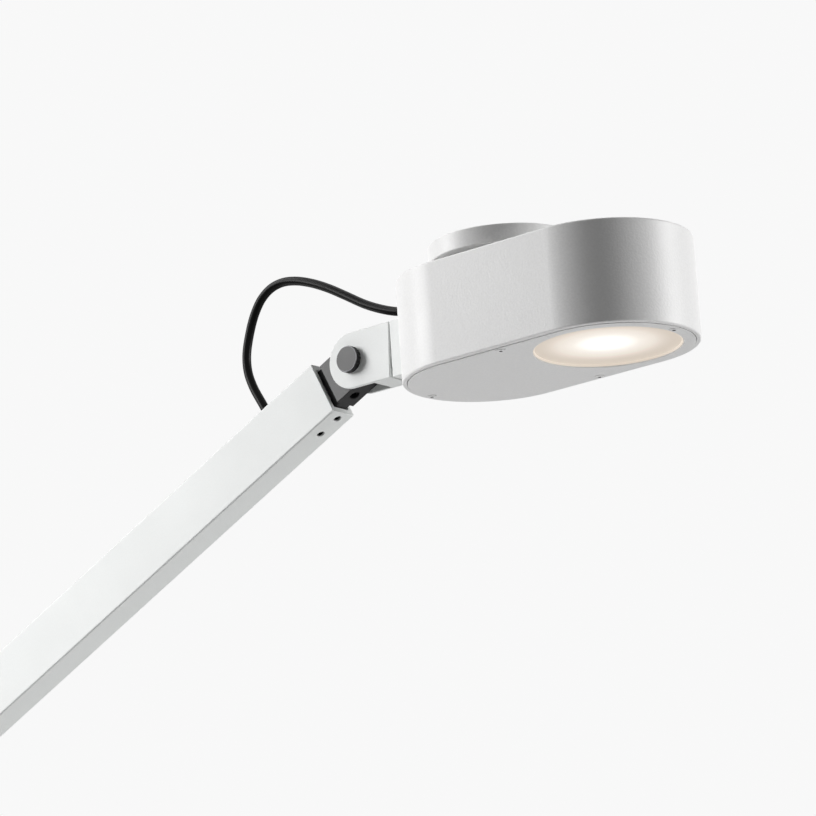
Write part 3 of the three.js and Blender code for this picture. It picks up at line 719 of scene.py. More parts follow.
def cable_jacket(name, finishes):
    """Glossy black jacket: a faint twist of the cores below it and a fine extrusion grain."""
    coat = Coat(name)
    run = coat.node("ShaderNodeUVMap", {"uv_map": "jacket"}, None)
    across = coat.node("ShaderNodeSeparateXYZ", None, {0: run}, output=0)
    along = coat.node("ShaderNodeSeparateXYZ", None, {0: run}, output=1)
    twist = coat.wave(across * (2 * math.tau) + along * (math.tau / 0.045))
    grain = coat.noise(1400.0)
    scuffs = coat.span(coat.noise(90.0, 3.0, 0.6), 0.55, 0.75)
    tone = coat.mix(finishes.jacket, scaled(finishes.jacket, 2.5), grain * 0.3 + scuffs * 0.3)
    roughness = grain * 0.1 + scuffs * 0.1 + 0.26
    return coat.end({"Specular IOR Level": 0.08}, tone, roughness, twist + grain * 0.12, 0.05 * MM)


STEEL_LINES = (0, 0, 1)  # turned screws have their tool lines across this axis
MAKERS = {
    "white_coat": lambda name, f: powder_coat(name, f.white, f.sheen, f.peel, f.peel_depth),
    # the tubes and forks: a finer and much flatter peel over smoother metal, with half the painted
    # light and shade on it
    "smooth_white": lambda name, f: powder_coat(
        name, f.tube_white, f.sheen, f.peel * 0.7, f.peel_depth * 0.18, peel_light_and_shade=0.5),
    "dark_coat": dark_coat,
    "rubber": lambda name, f: moulded(name, f.rubber, 0.72, 0.35 * MM, 0.03 * MM),
    "black_plastic": lambda name, f: moulded(
        name, scaled(f.rubber, 0.8), 0.45, 0.25 * MM, 0.012 * MM),
    "driver_case": lambda name, f: moulded(name, (0.62, 0.62, 0.6), 0.5, 0.6 * MM, 0.03 * MM),
    "nylon": lambda name, f: moulded(
        name, (0.6, 0.56, 0.47), 0.42, 0.8 * MM, 0.01 * MM, {"Coat Weight": 0.15}),
    "reflector_white": lambda name, f: moulded(
        name, (0.84, 0.84, 0.82), 0.26, 1.5 * MM, 0.004 * MM),
    "bright_steel": lambda name, f: machined(name, f.steel, 0.3, STEEL_LINES),
    "black_steel": lambda name, f: machined(name, f.black_steel, 0.36, STEEL_LINES),
    # the bevel round a dark knob's face, in lighter metal that paints a highlight line round the
    # face
    "worn_edge": lambda name, f: machined(name, scaled(f.black_steel, 4.0), 0.36),
    "bare_aluminium": lambda name, f: machined(name, (0.74, 0.75, 0.76), 0.34, pitch=0.8),
    "board_white": board_white,
    "led_chip": led_chip,
    "opal": opal,
    "lit_opal": lit_opal,
    "cable_jacket": cable_jacket,
}


def finish(name):
    """The named finish, made the first time that it is asked for."""
    full_name = f"lamp_{name}"
    made = bpy.data.materials.get(full_name)
    return made or MAKERS[name](full_name, settings().finishes)


# ---------- shared solids ----------
def rims(low, high, low_rounding, high_rounding, steps=5):
    """[inset, z] points up a side whose two rims are rounded, or chamfered in one step."""
    points = []
    if low_rounding:
        centre = (low_rounding, low + low_rounding)
        points += arc(centre, low_rounding, 3 * QUARTER, 2 * QUARTER, steps)
    else:
        points.append((0, low))
    if high_rounding:
        centre = (high_rounding, high - high_rounding)
        points += arc(centre, high_rounding, 2 * QUARTER, QUARTER, steps)
    else:
        points.append((0, high))
    return points


def slab(outline, width, rounding):
    """A side outline in X and Z given thickness along Y, with rounded rims."""
    return moved(stacked(outline, rims(-width / 2, width / 2, rounding, rounding)), SIDEWAYS)


def nosed(radius, top, bottom, inset):
    """A side outline that is round about the origin and runs straight to x = top and bottom."""
    nose = arc((0, 0), radius - inset, QUARTER, 3 * QUARTER, 60)
    return [(top - inset, radius - inset), *nose, (bottom - inset, inset - radius)]


def brick(low, high):
    """A block between two corners."""
    (x0, y0, z0), (x1, y1, z1) = low, high
    return skin([[(x0, y0, z), (x1, y0, z), (x1, y1, z), (x0, y1, z)] for z in (z0, z1)])


def drill(radius, depth, chamfer):
    """A cutter for a round hole down from z = 0, with a chamfer at its mouth."""
    profile = [(radius, -depth), (radius, -chamfer), (radius + chamfer + OVERCUT, OVERCUT)]
    return turned(profile, 64)


def bore(radius, low, high, chamfer):
    """A cutter for a round hole that goes right through, chamfered at both mouths."""
    wide = radius + chamfer + OVERCUT
    profile = [(wide, low - OVERCUT), (radius, low + chamfer), (radius, high - chamfer)]
    return turned([*profile, (wide, high + OVERCUT)], 64)


def countersink(diameter, thickness, proportions):
    """A cutter for a countersunk screw that comes up through a plate from z = 0."""
    wide = diameter * proportions.countersink + CLEARANCE
    narrow = clear_of(diameter)
    sunk = diameter * proportions.countersink_depth + CLEARANCE
    profile = [(wide, -OVERCUT), (wide, 0.1 * MM), (narrow, sunk), (narrow, thickness + OVERCUT)]
    return turned(profile, 64)


def hexagon(radius, low, high):
    """A cutter for a hex socket."""
    corners = arc((0, 0), radius, 0, 5 * math.tau / 6, 5)
    return skin([[(x, y, z) for x, y in corners] for z in (low, high)])


def bolt_holes(radius, start, end, sides):
    """Cutters for the two bolts between the fork and the head, along X in the head's mount."""
    heights = [local_middle(node, MOUNT).z for node in pairs("fork_bolt")]
    return [moved(rod(radius, start, end, sides), at(z=height) @ FORWARDS) for height in heights]


def bushing(low, rim):
    """A flanged bush: a ring about Z with its body below z = 0 and its flange above."""
    cable = settings().cable
    inner, body, flange = cable.bore / 2, cable.bush / 2, cable.flange / 2
    soft = 0.45 * MM
    profile = [(inner + soft, low), (body - soft, low), (body, low + soft), (body, CLEARANCE)]
    profile += [(flange, CLEARANCE), *arc((flange - soft, rim - soft), soft, 0, QUARTER, 5)]
    profile += arc((inner + soft, rim - soft), soft, QUARTER, 2 * QUARTER, 5)
    profile.append((inner, low + soft))
    return turned(profile, 72, closed=True)


# ---------- copies on points ----------
def copy_tree():
    """Geometry Nodes that stand a blank on each point, turned about its own axis by chance."""
    made = bpy.data.node_groups.get("Copies on points")
    if made:
        return made
    tree = bpy.data.node_groups.new("Copies on points", "GeometryNodeTree")
    sockets = {
        "Points": "NodeSocketGeometry", "Blank": "NodeSocketObject", "Core": "NodeSocketObject",
        "Turn": "NodeSocketFloat", "Seed": "NodeSocketInt", "Finish": "NodeSocketMaterial",
    }
    for name, kind in sockets.items():
        tree.interface.new_socket(name, in_out="INPUT", socket_type=kind)
    tree.interface.new_socket("Copies", in_out="OUTPUT", socket_type="NodeSocketGeometry")
    graph = Graph(tree)
    inputs = graph.node("NodeGroupInput", output=None)
    given = {name: Wire(graph, inputs.outputs[name]) for name in sockets}
    named = {"data_type": "FLOAT_VECTOR"}
    turn = graph.node("GeometryNodeInputNamedAttribute", named, {"Name": "turn"})
    stand = graph.node("FunctionNodeEulerToRotation", None, {0: turn})
    chance = {2: 0.0, 3: given["Turn"], "Seed": given["Seed"]}
    amount = graph.node("FunctionNodeRandomValue", {"data_type": "FLOAT"}, chance, output=1)
    spin = graph.node("FunctionNodeAxisAngleToRotation", None, {0: (0, 0, 1), 1: amount})
    local = {"rotation_space": "LOCAL"}
    stand = graph.node("FunctionNodeRotateRotation", local, {0: stand, 1: spin})
    blank = graph.node("GeometryNodeObjectInfo", None, {"Object": given["Blank"]}, "Geometry")
    core = graph.node("GeometryNodeObjectInfo", None, {"Object": given["Core"]}, "Geometry")
    stood = {"Points": given["Points"], "Instance": blank, "Rotation": stand}
    copies = graph.node("GeometryNodeInstanceOnPoints", None, stood)
    both = graph.node("GeometryNodeJoinGeometry", None, {0: copies})
    tree.links.new(core.socket, both.socket.node.inputs[0])
    whole = graph.node("GeometryNodeRealizeInstances", None, {0: both})
    dressed = {"Geometry": whole, "Material": given["Finish"]}
    result = graph.node("GeometryNodeSetMaterial", None, dressed)
    graph.node("NodeGroupOutput", None, {"Copies": result}, output=None)
    return tree


def copied(places, blank, finish_name, turn=0.0, core=None, seed=7):
    """One mesh of a blank stood on each place, and of a core that they belong to."""
    spots = bpy.data.meshes.new("spots")
    spots.from_pydata([tuple(place.to_translation()) for place in places], [], [])
    turns = spots.attributes.new("turn", "FLOAT_VECTOR", "POINT")
    for i, place in enumerate(places):
        turns.data[i].vector = tuple(place.to_euler())
    helpers = {"Blank": added("blank", blank)}
    if core:
        helpers["Core"] = added("core", core)
    given = {"Turn": turn, "Seed": seed, "Finish": finish(finish_name), **helpers}
    values = {"node_group": copy_tree()}
    for item in values["node_group"].interface.items_tree:
        if item.name in given:
            values[item.identifier] = given[item.name]
    mesh = baked(spots, [("NODES", values)], helpers.values())
    mesh.materials.clear()  # an empty slot of the blank's can stand before the finish
    mesh.materials.append(finish(finish_name))
    return mesh


def set_screw(radius, size, socket_radius, socket_depth):
    """A threaded set screw about Z, its driven end with a hex socket at z = 0."""
    ease = 0.25 * MM
    profile = [(radius - 3 * ease, -size), (radius, -size + 2 * ease)]
    pitch = 0.8 * MM
    for i in range(int((size - 4 * ease) / pitch)):
        low = -size + 2.5 * ease + i * pitch
        profile += [(radius, low + 0.1 * pitch), (radius - 0.2 * MM, low + 0.5 * pitch)]
        profile.append((radius, low + 0.9 * pitch))
    profile += [(radius, -ease), (radius - ease, 0)]
    return cut(turned(profile, 40), hexagon(socket_radius, -socket_depth, OVERCUT))


def countersunk_screw(diameter, size, proportions):
    """A countersunk socket screw with a raised head."""
    shaft, head = diameter / 2, diameter * proportions.countersink
    sunk, rise = diameter * proportions.countersink_depth, diameter * proportions.rise
    profile = [(shaft * 0.7, -size), (shaft, -size + 0.4 * MM), (shaft, -sunk), (head, 0)]
    profile += [(head, 0.4 * rise), (0.93 * head, 0.7 * rise), (0.8 * head, 0.88 * rise)]
    profile += [(0.6 * head, 0.97 * rise), (0.45 * head, rise)]
    socket = diameter * proportions.socket / 2
    bottom = rise - SOCKET_DEPTH * diameter
    return cut(turned(profile, 40), hexagon(socket, bottom, rise + OVERCUT))


# ---------- pieces ----------
FLOOR_REACH = 7.0  # half the floor's width


def aimed(yaw, pitch):
    """A turn that points -Z along +Y, and then to the left by yaw and up by pitch."""
    return Matrix.Rotation(yaw, 4, "Z") @ Matrix.Rotation(QUARTER + pitch, 4, "X")


def make_camera(studio):
    """Makes the camera, looking up at the head from in front."""
    data = bpy.data.cameras.new("camera")
    data.lens = studio.lens
    data.sensor_width = 36
    data.clip_start, data.clip_end = 0.05, 60
    camera = added("camera", data)
    turn = aimed(studio.yaw, studio.pitch) @ Matrix.Rotation(studio.roll, 4, "Z")
    camera.matrix_world = Matrix.Translation(TILT_PIN + Vector(studio.eye)) @ turn
    bpy.context.scene.camera = camera


def make_floor(studio):
    """Makes a plain pale floor that is seen as pale as the backdrop, but for a soft shadow."""
    mesh = bpy.data.meshes.new("floor")
    corners = [(-1, -1), (1, -1), (1, 1), (-1, 1)]
    corners = [(FLOOR_REACH * x, FLOOR_REACH * y, 0) for x, y in corners]
    mesh.from_pydata(corners, [], [range(4)])
    coat = Coat("pale_floor")
    grain = coat.noise(220.0, 3.0, 0.6)
    tone = coat.mix(scaled(studio.floor, 0.99), studio.floor, grain)
    near = {"Distance": studio.shadow_reach}
    open_sky = coat.node("ShaderNodeAmbientOcclusion", {"samples": 16}, near, output=1)
    pale = coat.mix(scaled(studio.backdrop, studio.shadow), studio.backdrop, open_sky)
    seen = seen_ray(coat, studio.floor_gloss)
    black = (0.0, 0.0, 0.0)
    constants = {"Specular IOR Level": 0.0, "Emission Strength": 1.0}
    glow = coat.mix(black, pale, seen)
    pale_floor = coat.end(constants, coat.mix(tone, black, seen), 0.7, glow=glow)
    pale_floor.cycles.emission_sampling = "NONE"  # it lights nothing
    mesh.materials.append(pale_floor)
    added("floor", mesh)


def make_world(studio):
    """Makes a pale backdrop for the camera and for gloss, and a weaker light from all round."""
    world = bpy.data.worlds.new("studio")
    world.use_nodes = True
    world.cycles.sampling_method = "NONE" if studio.ambient == 0 else "AUTOMATIC"
    bpy.context.scene.world = world
    graph = Graph(world.node_tree)
    tone = graph.mix([studio.ambient] * 3, studio.backdrop, seen_ray(graph))
    light = graph.node("ShaderNodeBackground", None, {"Color": tone, "Strength": 1.0})
    graph.node("ShaderNodeOutputWorld", None, {"Surface": light}, output=None)
    bpy.context.scene.view_settings.view_transform = "Standard"


def make_softbox(name, power, azimuth, elevation, distance, size):
    """Makes a square softbox that faces the head and that the camera doesn't see."""
    data = bpy.data.lights.new(f"{name}_softbox", "AREA")
    data.shape = "SQUARE"
    data.size = size
    data.energy = power
    light = added(f"{name}_softbox", data)
    light.visible_camera = False
    turn = aimed(math.radians(azimuth), math.radians(-elevation))
    light.matrix_world = Matrix.Translation(TILT_PIN) @ turn @ at(z=distance)


class LAMP_OT_studio(bpy.types.Operator):
    """Makes the camera, the floor, the backdrop and the softboxes"""

    bl_idname = "lamp.studio"
    bl_label = "Studio"
    bl_options = {"REGISTER", "UNDO"}

    # name, degrees to the right of -Y, degrees above the tilt pin, distance and size
    SOFTBOXES = (
        ("left", -51, 12, 2.2, 1.0),
        ("left_high", -62, 40, 2.2, 1.0),
        ("left_low", -90, -35, 1.9, 1.3),
        ("right", 121, 12, 2.2, 1.0),
        ("right_low", 120, -35, 1.9, 1.3),
        ("low", 0, -88, 1.4, 1.0),
        ("top", -139, 80, 2.2, 1.6),
    )

    def execute(self, context):
        studio = context.scene.lamp.studio
        make_camera(studio)
        make_floor(studio)
        make_world(studio)
        for name, *place in self.SOFTBOXES:
            make_softbox(name, getattr(studio, name), *place)
        return {"FINISHED"}


def smoothed(points, steps):
    """Points on a centripetal Catmull-Rom curve through the given ones."""
    ends = [points[0] * 2 - points[1], *points, points[-1] * 2 - points[-2]]
    path = []
    for i in range(len(points) - 1):
        corners = ends[i : i + 4]
        times = [0.0]
        for a, b in zip(corners, corners[1:]):
            times.append(times[-1] + math.sqrt((b - a).length))
        for step in range(steps):
            when = times[1] + (times[2] - times[1]) * step / steps
            blends = blended(corners, times, times[1:], when)
            blends = blended(blends, times, times[2:], when)
            path += blended(blends, times[1:], times[2:], when)
    return [*path, points[-1]]


def blended(points, starts, ends, when):
    """Points between each two neighbours, by how far a time is between two times."""
    return [
        (a * (end - when) + b * (when - start)) / (end - start)
        for a, b, start, end in zip(points, points[1:], starts, ends)
    ]


def make_cable(path, radius, sides):
    """A capped tube along a path in the lamp's middle plane, unwrapped along its length."""
    across = Vector((0, 1, 0))
    angles = [math.tau * j / sides for j in range(sides)]
    rings, runs = [], [0.0]
    for i, point in enumerate(path):
        before, after = path[max(i - 1, 0)], path[min(i + 1, len(path) - 1)]
        normal = (after - before).normalized().cross(across)
        rings.append([
            point + (across * math.cos(a) + normal * math.sin(a)) * radius for a in angles
        ])
        runs.append(runs[-1] + (after - point).length)
    mesh = skin(rings)
    jacket = mesh.uv_layers.new(name="jacket")
    for polygon in mesh.polygons:
        corners = [divmod(index, sides) for index in polygon.vertices]
        wraps = any(side == sides - 1 for _, side in corners)
        for i, (ring, side) in zip(polygon.loop_indices, corners):
            turn = 1.0 if wraps and side == 0 else side / sides
            jacket.data[i].uv = (turn, runs[ring])
    return mesh, runs[-1]


class LAMP_OT_head_cable(bpy.types.Operator):
    """Makes the cable that loops from the arm over the hinge into the head"""

    bl_idname = "lamp.head_cable"
    bl_label = "Head cable"
    bl_options = {"REGISTER", "UNDO"}

    # [x, z] from the tilt pin in millimetres
    ROUTE = (
        (-67.9, -34.2), (-72.6, -26.5), (-77.3, -18.8), (-86.8, -5), (-91.3, 4.9), (-92.7, 14.9),
        (-91.2, 26.4), (-87.1, 40), (-81.6, 49.2), (-74.2, 55), (-65.1, 57.6), (-54.1, 57.2),
        (-41.2, 54.2), (-27.7, 49.3), (-14.1, 43.1), (1.5, 35.8), (14.5, 31.2), (25.8, 28.4),
        (34.9, 27.4), (42.3, 27.4), (47.4, 27.9),
    )

    def execute(self, context):
        sizes = context.scene.lamp.cable
        path = smoothed([TILT_PIN + Vector((x, 0, z)) * MM for x, z in self.ROUTE], 7)
        mesh, run = make_cable(path, sizes.diameter / 2, 24)
        mesh.materials.append(finish("cable_jacket"))
        mesh = shade(mesh, 80)
        mesh.name = "cable_to_head"
        cable = added("cable_to_head", mesh)
        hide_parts("head_cable")
        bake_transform(cable)
        return {"FINISHED"}


def make_plate(lamp):
    """Makes the base plate, with countersinks in its underside."""
    low, high = local_box("base_plate", WORLD)
    plate = disc(high.x, rims(low.z, high.z, 1 * MM, lamp.base.rounding, 8), 256)
    sink = countersink(lamp.screws.base_diameter, high.z - low.z, lamp.screws)
    places = [local_middle(bolt, WORLD) for bolt in pairs("base_bolt")]
    plate = cut(plate, *[moved(sink.copy(), at(place.x, place.y, low.z)) for place in places])
    add_piece("weighted_base", plate, WORLD, "white_coat", "stand", "white_steel",
              "base_plate")


def make_foot(lamp):
    """Makes the flange that the bolts hold and the spigot inside the post."""
    base, screws = lamp.base, lamp.screws
    low, high = local_box("post_foot", WORLD)
    middle = (low + high) / 2
    width, depth, top = (high[i] - low[i] for i in range(3))
    place = at(middle.x, middle.y, low.z)

    def flange(inset):
        return oblong(width - 2 * inset, depth - 2 * inset, base.foot_corner - inset)

    def spigot(inset):
        height = lamp.hinges.shank_height - 2 * inset
        return oblong(height, base.spigot_width - 2 * inset, 1.2 * MM)

    foot = stacked(flange, rims(0, base.foot_height, 0.3 * MM, base.foot_rounding))
    chain = [(0, base.foot_height / 2), (0, top - 1 * MM), (0.8 * MM, top)]
    foot = fused(foot, stacked(spigot, chain))
    tools = []
    for bolt, screw_node in zip(pairs("base_bolt"), pairs("foot_set_screw")):
        middle = local_middle(bolt, place)
        hole = drill(clear_of(screws.base_diameter), base.tapped_depth, 0.3 * MM)
        tools.append(moved(hole, at(middle.x, middle.y) @ DOWNWARDS))
        start = local_box(screw_node, place)[0].x - CLEARANCE
        hole = rod(screws.set_hole / 2, start, 20 * MM)
        tools.append(moved(hole, at(z=local_middle(screw_node, place).z) @ FORWARDS))
    add_piece("foot", cut(foot, *tools), place, "dark_coat", "stand", "dark_steel",
              "post_foot")


class LAMP_OT_base(bpy.types.Operator):
    """Makes the weighted base, its rubber pad and the post's foot"""

    bl_idname = "lamp.base"
    bl_label = "Base"
    bl_options = {"REGISTER", "UNDO"}

    def execute(self, context):
        lamp = context.scene.lamp
        make_plate(lamp)
        low, high = local_box("base_pad", WORLD)
        pad = disc(high.x, rims(low.z, high.z, 0.4 * MM, 0.4 * MM), 192)
        add_piece("rubber_pad", pad, WORLD, "rubber", "stand", "rubber", "base_pad")
        make_foot(lamp)
        dress("bright_steel", *pairs("base_bolt"))
        return {"FINISHED"}


def make_tube(lamp, node, place, screws, bush):
    """Makes a rectangular tube with chamfered ends, set-screw holes and a bushed hole."""
    tubes = lamp.tubes
    low, high = local_box(node, place)
    outside = (high.y - low.y, high.z - low.z, tubes.corner)
    inside = (outside[0] - 2 * tubes.side_wall, outside[1] - 2 * tubes.narrow_wall,
              tubes.corner / 2)

    def ring(section, inset, x):
        width, height, corner = section
        section = oblong(width - 2 * inset, height - 2 * inset, corner - inset)
        return [(x, y, z) for y, z in section]

    chamfer = tubes.end_chamfer
    near, far = low.x + chamfer, high.x - chamfer
    rings = [ring(*place) for place in (
        (outside, chamfer, low.x), (outside, 0, near), (outside, 0, far),
        (outside, chamfer, high.x), (inside, -chamfer, high.x), (inside, 0, far),
        (inside, 0, near), (inside, -chamfer, low.x),
    )]
    depth = tubes.narrow_wall + OVERCUT
    tools = []
    for node in screws:
        hole = drill(lamp.screws.set_hole / 2, depth, tubes.hole_chamfer)
        tools.append(moved(hole, at(local_middle(node, place).x, 0, low.z) @ DOWNWARDS))
    hole = drill(clear_of(lamp.cable.bush), depth, tubes.hole_chamfer)
    tools.append(moved(hole, at(local_middle(bush, place).x, 0, high.z)))
    return cut(skin(rings, closed=True), *tools)


class LAMP_OT_tubes(bpy.types.Operator):
    """Makes the post's and the arm's tube and their two cable bushes"""

    bl_idname = "lamp.tubes"
    bl_label = "Tubes"
    bl_options = {"REGISTER", "UNDO"}

    def execute(self, context):
        lamp = context.scene.lamp
        for node, place, screws, bush, body in (
            ("post_tube", POST, STAND_SCREWS, "lead_gland", "stand"),
            ("arm_tube", ARM, ARM_SCREWS, "arm_grommet", "arm"),
        ):
            tube = make_tube(lamp, node, place, screws, bush)
            add_piece(f"{node}_profile", tube, place, "smooth_white", body, "white_aluminium", node)
            low, high = local_box(bush, place)
            face = high.z - lamp.cable.rim
            ring = bushing(low.z - face, lamp.cable.rim)
            here = place @ at((low.x + high.x) / 2, 0, face)
            add_piece(f"{bush}_bush", ring, here, "rubber", body, "rubber", bush)
        return {"FINISHED"}


def make_shank(hinges, start, end):
    """Makes a shank along X."""
    ease = 0.6 * MM

    def section(inset):
        width, height = hinges.shank_width - 2 * inset, hinges.shank_height - 2 * inset
        return oblong(width, height, ease, 2)

    return moved(stacked(section, [(0, start), (0, end - ease), (ease, end)]), ALONG_X)


def shank_holes(lamp, screws, place):
    """Makes the cutters for the set screws' seats in a shank."""
    tools = []
    for node in screws:
        low, high = local_box(node, place)
        hole = rod(lamp.screws.set_hole / 2, low.z - 2 * MM, high.z + CLEARANCE)
        tools.append(moved(hole, at((low.x + high.x) / 2)))
    return tools


def make_knuckle(lamp, node, place, screws, clamp):
    """Makes the nosed block between a fork's ears, with its shank inside the tube."""
    hinges = lamp.hinges
    low, high = local_box(node, place)
    nose, half = high.x, high.y
    shoulder = hinges.shoulder

    def outline(inset):
        return nosed(nose, shoulder, shoulder, inset)

    block = slab(outline, 2 * half, hinges.knuckle_rounding)
    shank = make_shank(hinges, shoulder - hinges.shank_root, -low.x)
    block = fused(moved(block, TURNED_BACK), moved(shank, TURNED_BACK))
    tools = [moved(bore(clear_of(hinges.pin), -half, half, 0.3 * MM), SIDEWAYS)]
    washer = local_box("tilt_washer_near", TIP)[1].x + CLEARANCE
    for turn in (SIDEWAYS, FARWARDS):
        seat = drill(washer, hinges.washer_seat, 0.2 * MM)
        tools.append(moved(seat, turn @ at(z=half)))
    recess = drill(hinges.recess / 2, hinges.recess_depth, 0.3 * MM)
    tools.append(moved(recess, at(local_middle(clamp, place).x, 0, -nose) @ DOWNWARDS))
    return cut(block, *tools, *shank_holes(lamp, screws, place))


def make_fork(lamp, node, place, screws):
    """Makes a fork: two round-nosed ears and the web behind the slot."""
    hinges, head = lamp.hinges, lamp.head
    low, high = local_box(node, place)
    radius, half = -low.x, high.y
    wedge = 0 if screws else hinges.wedge

    def outline(inset):
        return nosed(radius, hinges.reach, hinges.reach - wedge, inset)

    body = slab(outline, 2 * half, hinges.fork_rounding)
    tools = [moved(bore(clear_of(hinges.pin), -half, half, 0.25 * MM), SIDEWAYS)]
    inner, web = half - hinges.ear, hinges.slot
    slot = brick((-2 * radius, -inner, -2 * radius), (web, inner, 2 * radius))
    if screws:
        body = fused(body, make_shank(hinges, hinges.reach - hinges.shank_root, high.x))
        tools += shank_holes(lamp, screws, place)
    else:
        sunk = web + head.bolt + CLEARANCE
        sinks = bolt_holes(clear_of(head.bolt_cap), web - OVERCUT, sunk, 48)
        holes = bolt_holes(clear_of(head.bolt), web, 2 * hinges.reach, 48)
        tools += [tool for both in zip(sinks, holes) for tool in both]
    return cut(eased(cut(body, slot), 0.3 * MM, 2, 50), *tools)


def make_pin(lamp, node, place):
    """Makes a shoulder pin about Z, its round head at the top."""
    low, high = local_box(node, place)  # the pin lies along its Y
    shaft, head, crown = lamp.hinges.pin / 2, high.x, high.y
    seat = local_box("head_fork", MOUNT)[1].y + CLEARANCE
    soft = 0.5 * MM
    profile = [(shaft - 2 * soft, low.y), (shaft, low.y + 2 * soft), (shaft, seat)]
    profile += [(head - soft / 2, seat), (head, seat + soft / 2)]
    profile += arc((head - soft, crown - soft), soft, 0, QUARTER, 5)
    profile += [(head - 3 * soft, crown), (head - 4 * soft, crown - 0.3 * soft)]
    return turned(profile, 128)


def make_knob(lamp, node, place):
    """Makes a knurled clamping knob about Z, its face at the top."""
    hinges = lamp.hinges
    low, high = local_box(node, place)
    face, seat = -low.y, -high.y
    core = high.x - hinges.rib_depth
    soft, bevel = 0.4 * MM, hinges.knob_bevel + hinges.knob_coat
    hole = clear_of(hinges.pin)
    profile = [(hole, seat + hinges.pin_in_knob + CLEARANCE), (hole, seat), (core - soft, seat)]
    profile += [(core, seat + soft), (core, face - bevel), (core - bevel, face)]
    body = turned(profile, 128)
    half = 0.36 * math.tau * core / hinges.ribs
    rib = make_rib(hinges.rib_depth, half, seat + soft, face - bevel)
    turns = [Matrix.Rotation(math.tau * i / hinges.ribs, 4, "Z") for i in range(hinges.ribs)]
    return copied([turn @ at(core) for turn in turns], rib, "dark_coat", core=body)


def make_knob_rim(lamp, node, place):
    """Makes the thin bevelled rim of a knob's face, in lighter metal as a painted highlight line.
    """
    low, high = local_box(node, place)
    edge, face = high.x - lamp.hinges.rib_depth, -low.y
    bevel, inner = lamp.hinges.knob_bevel, lamp.hinges.knob_bevel + 0.7 * lamp.hinges.knob_coat
    profile = [(edge, face - bevel), (edge - bevel, face), (edge - inner, face)]
    return turned([*profile, (edge, face - inner)], 128, closed=True)


def make_rib(height, half, low, high):
    """Makes a half-round rib along Z that fades out at both ends."""
    fade = 0.5 * MM
    rings = []
    for share_of, z in ((0.1, low), (1.0, low + fade), (1.0, high - fade), (0.1, high)):
        crest = [
            (height * share_of * math.sin(a), -half * math.cos(a))
            for a in [math.pi * i / 6 for i in range(7)]
        ]
        root = [(-2 * height, half), (-2 * height, -half)]
        rings.append([(x, y, z) for x, y in crest + root])
    return skin(rings)


def make_washer(lamp, node, place):
    """Makes a flat washer about Z, in its seat at one side."""
    low, high = local_box(node, place)
    inner, outer = sorted((abs(low.y), abs(high.y)))
    hole, rim, soft = clear_of(lamp.hinges.pin), high.x, 0.15 * MM
    profile = [(hole + soft, inner), (rim - soft, inner), (rim, inner + soft)]
    profile += [(rim, outer - soft), (rim - soft, outer), (hole + soft, outer)]
    profile += [(hole, outer - soft), (hole, inner + soft)]
    return turned(profile, 96, closed=True)


class LAMP_OT_hinges(bpy.types.Operator):
    """Makes both clevis hinges: knuckles, washers, forks, pins and knurled knobs"""

    bl_idname = "lamp.hinges"
    bl_label = "Hinges"
    bl_options = {"REGISTER", "UNDO"}

    def execute(self, context):
        lamp = context.scene.lamp
        dark, white = "dark_aluminium", "white_aluminium"
        for node, place, screws, clamp, body in (
            ("post_knuckle", POST, pairs("post_set_screw"), "elbow_clamp_screw", "stand"),
            ("arm_knuckle", TIP, pairs("arm_set_screw"), "tilt_clamp_screw", "arm"),
        ):
            block = make_knuckle(lamp, node, place, screws, clamp)
            add_piece(f"{node}_block", block, place, "dark_coat", body, dark, node)
        for node, place, screws, body in (
            ("elbow_fork", ARM, pairs("fork_set_screw"), "arm"),
            ("head_fork", MOUNT, None, "head"),
        ):
            clevis = make_fork(lamp, node, place, screws)
            add_piece(f"{node}_clevis", clevis, place, "smooth_white", body, white, node)
        for word, place, pin_body, knuckle_body in (
            ("elbow", ARM, "arm", "stand"), ("tilt", MOUNT, "head", "arm"),
        ):
            pin, knob, near = f"{word}_pin", f"{word}_knob", place @ SIDEWAYS
            add_piece(f"{word}_shoulder_pin", make_pin(lamp, pin, place), place @ FARWARDS,
                      "dark_coat", pin_body, "dark_steel", pin)
            add_piece(f"{word}_knurled_knob", make_knob(lamp, knob, place), near, None, knob,
                      dark, knob)
            # the knob's rim is lighter metal: a painted highlight round the knob's face
            add_piece(f"{word}_knob_rim", make_knob_rim(lamp, knob, place), near, "worn_edge",
                      knob, dark)
            for side, turn in (("near", SIDEWAYS), ("far", FARWARDS)):
                node = f"{word}_washer_{side}"
                washer = make_washer(lamp, node, place)
                add_piece(f"{node}_disc", washer, place @ turn, "nylon", knuckle_body, "nylon",
                          node)
        return {"FINISHED"}


# a cutter for the housing's rear wall reaches from inside the wall to behind it
REAR_HOLE = (-12 * MM, 5 * MM)


def head_outline():
    """The head's outline as a function of how far its sides are moved in."""
    high = local_box("head_shell", HEAD)[1]
    return lambda inset: obround(high.x - high.y, high.y - inset)


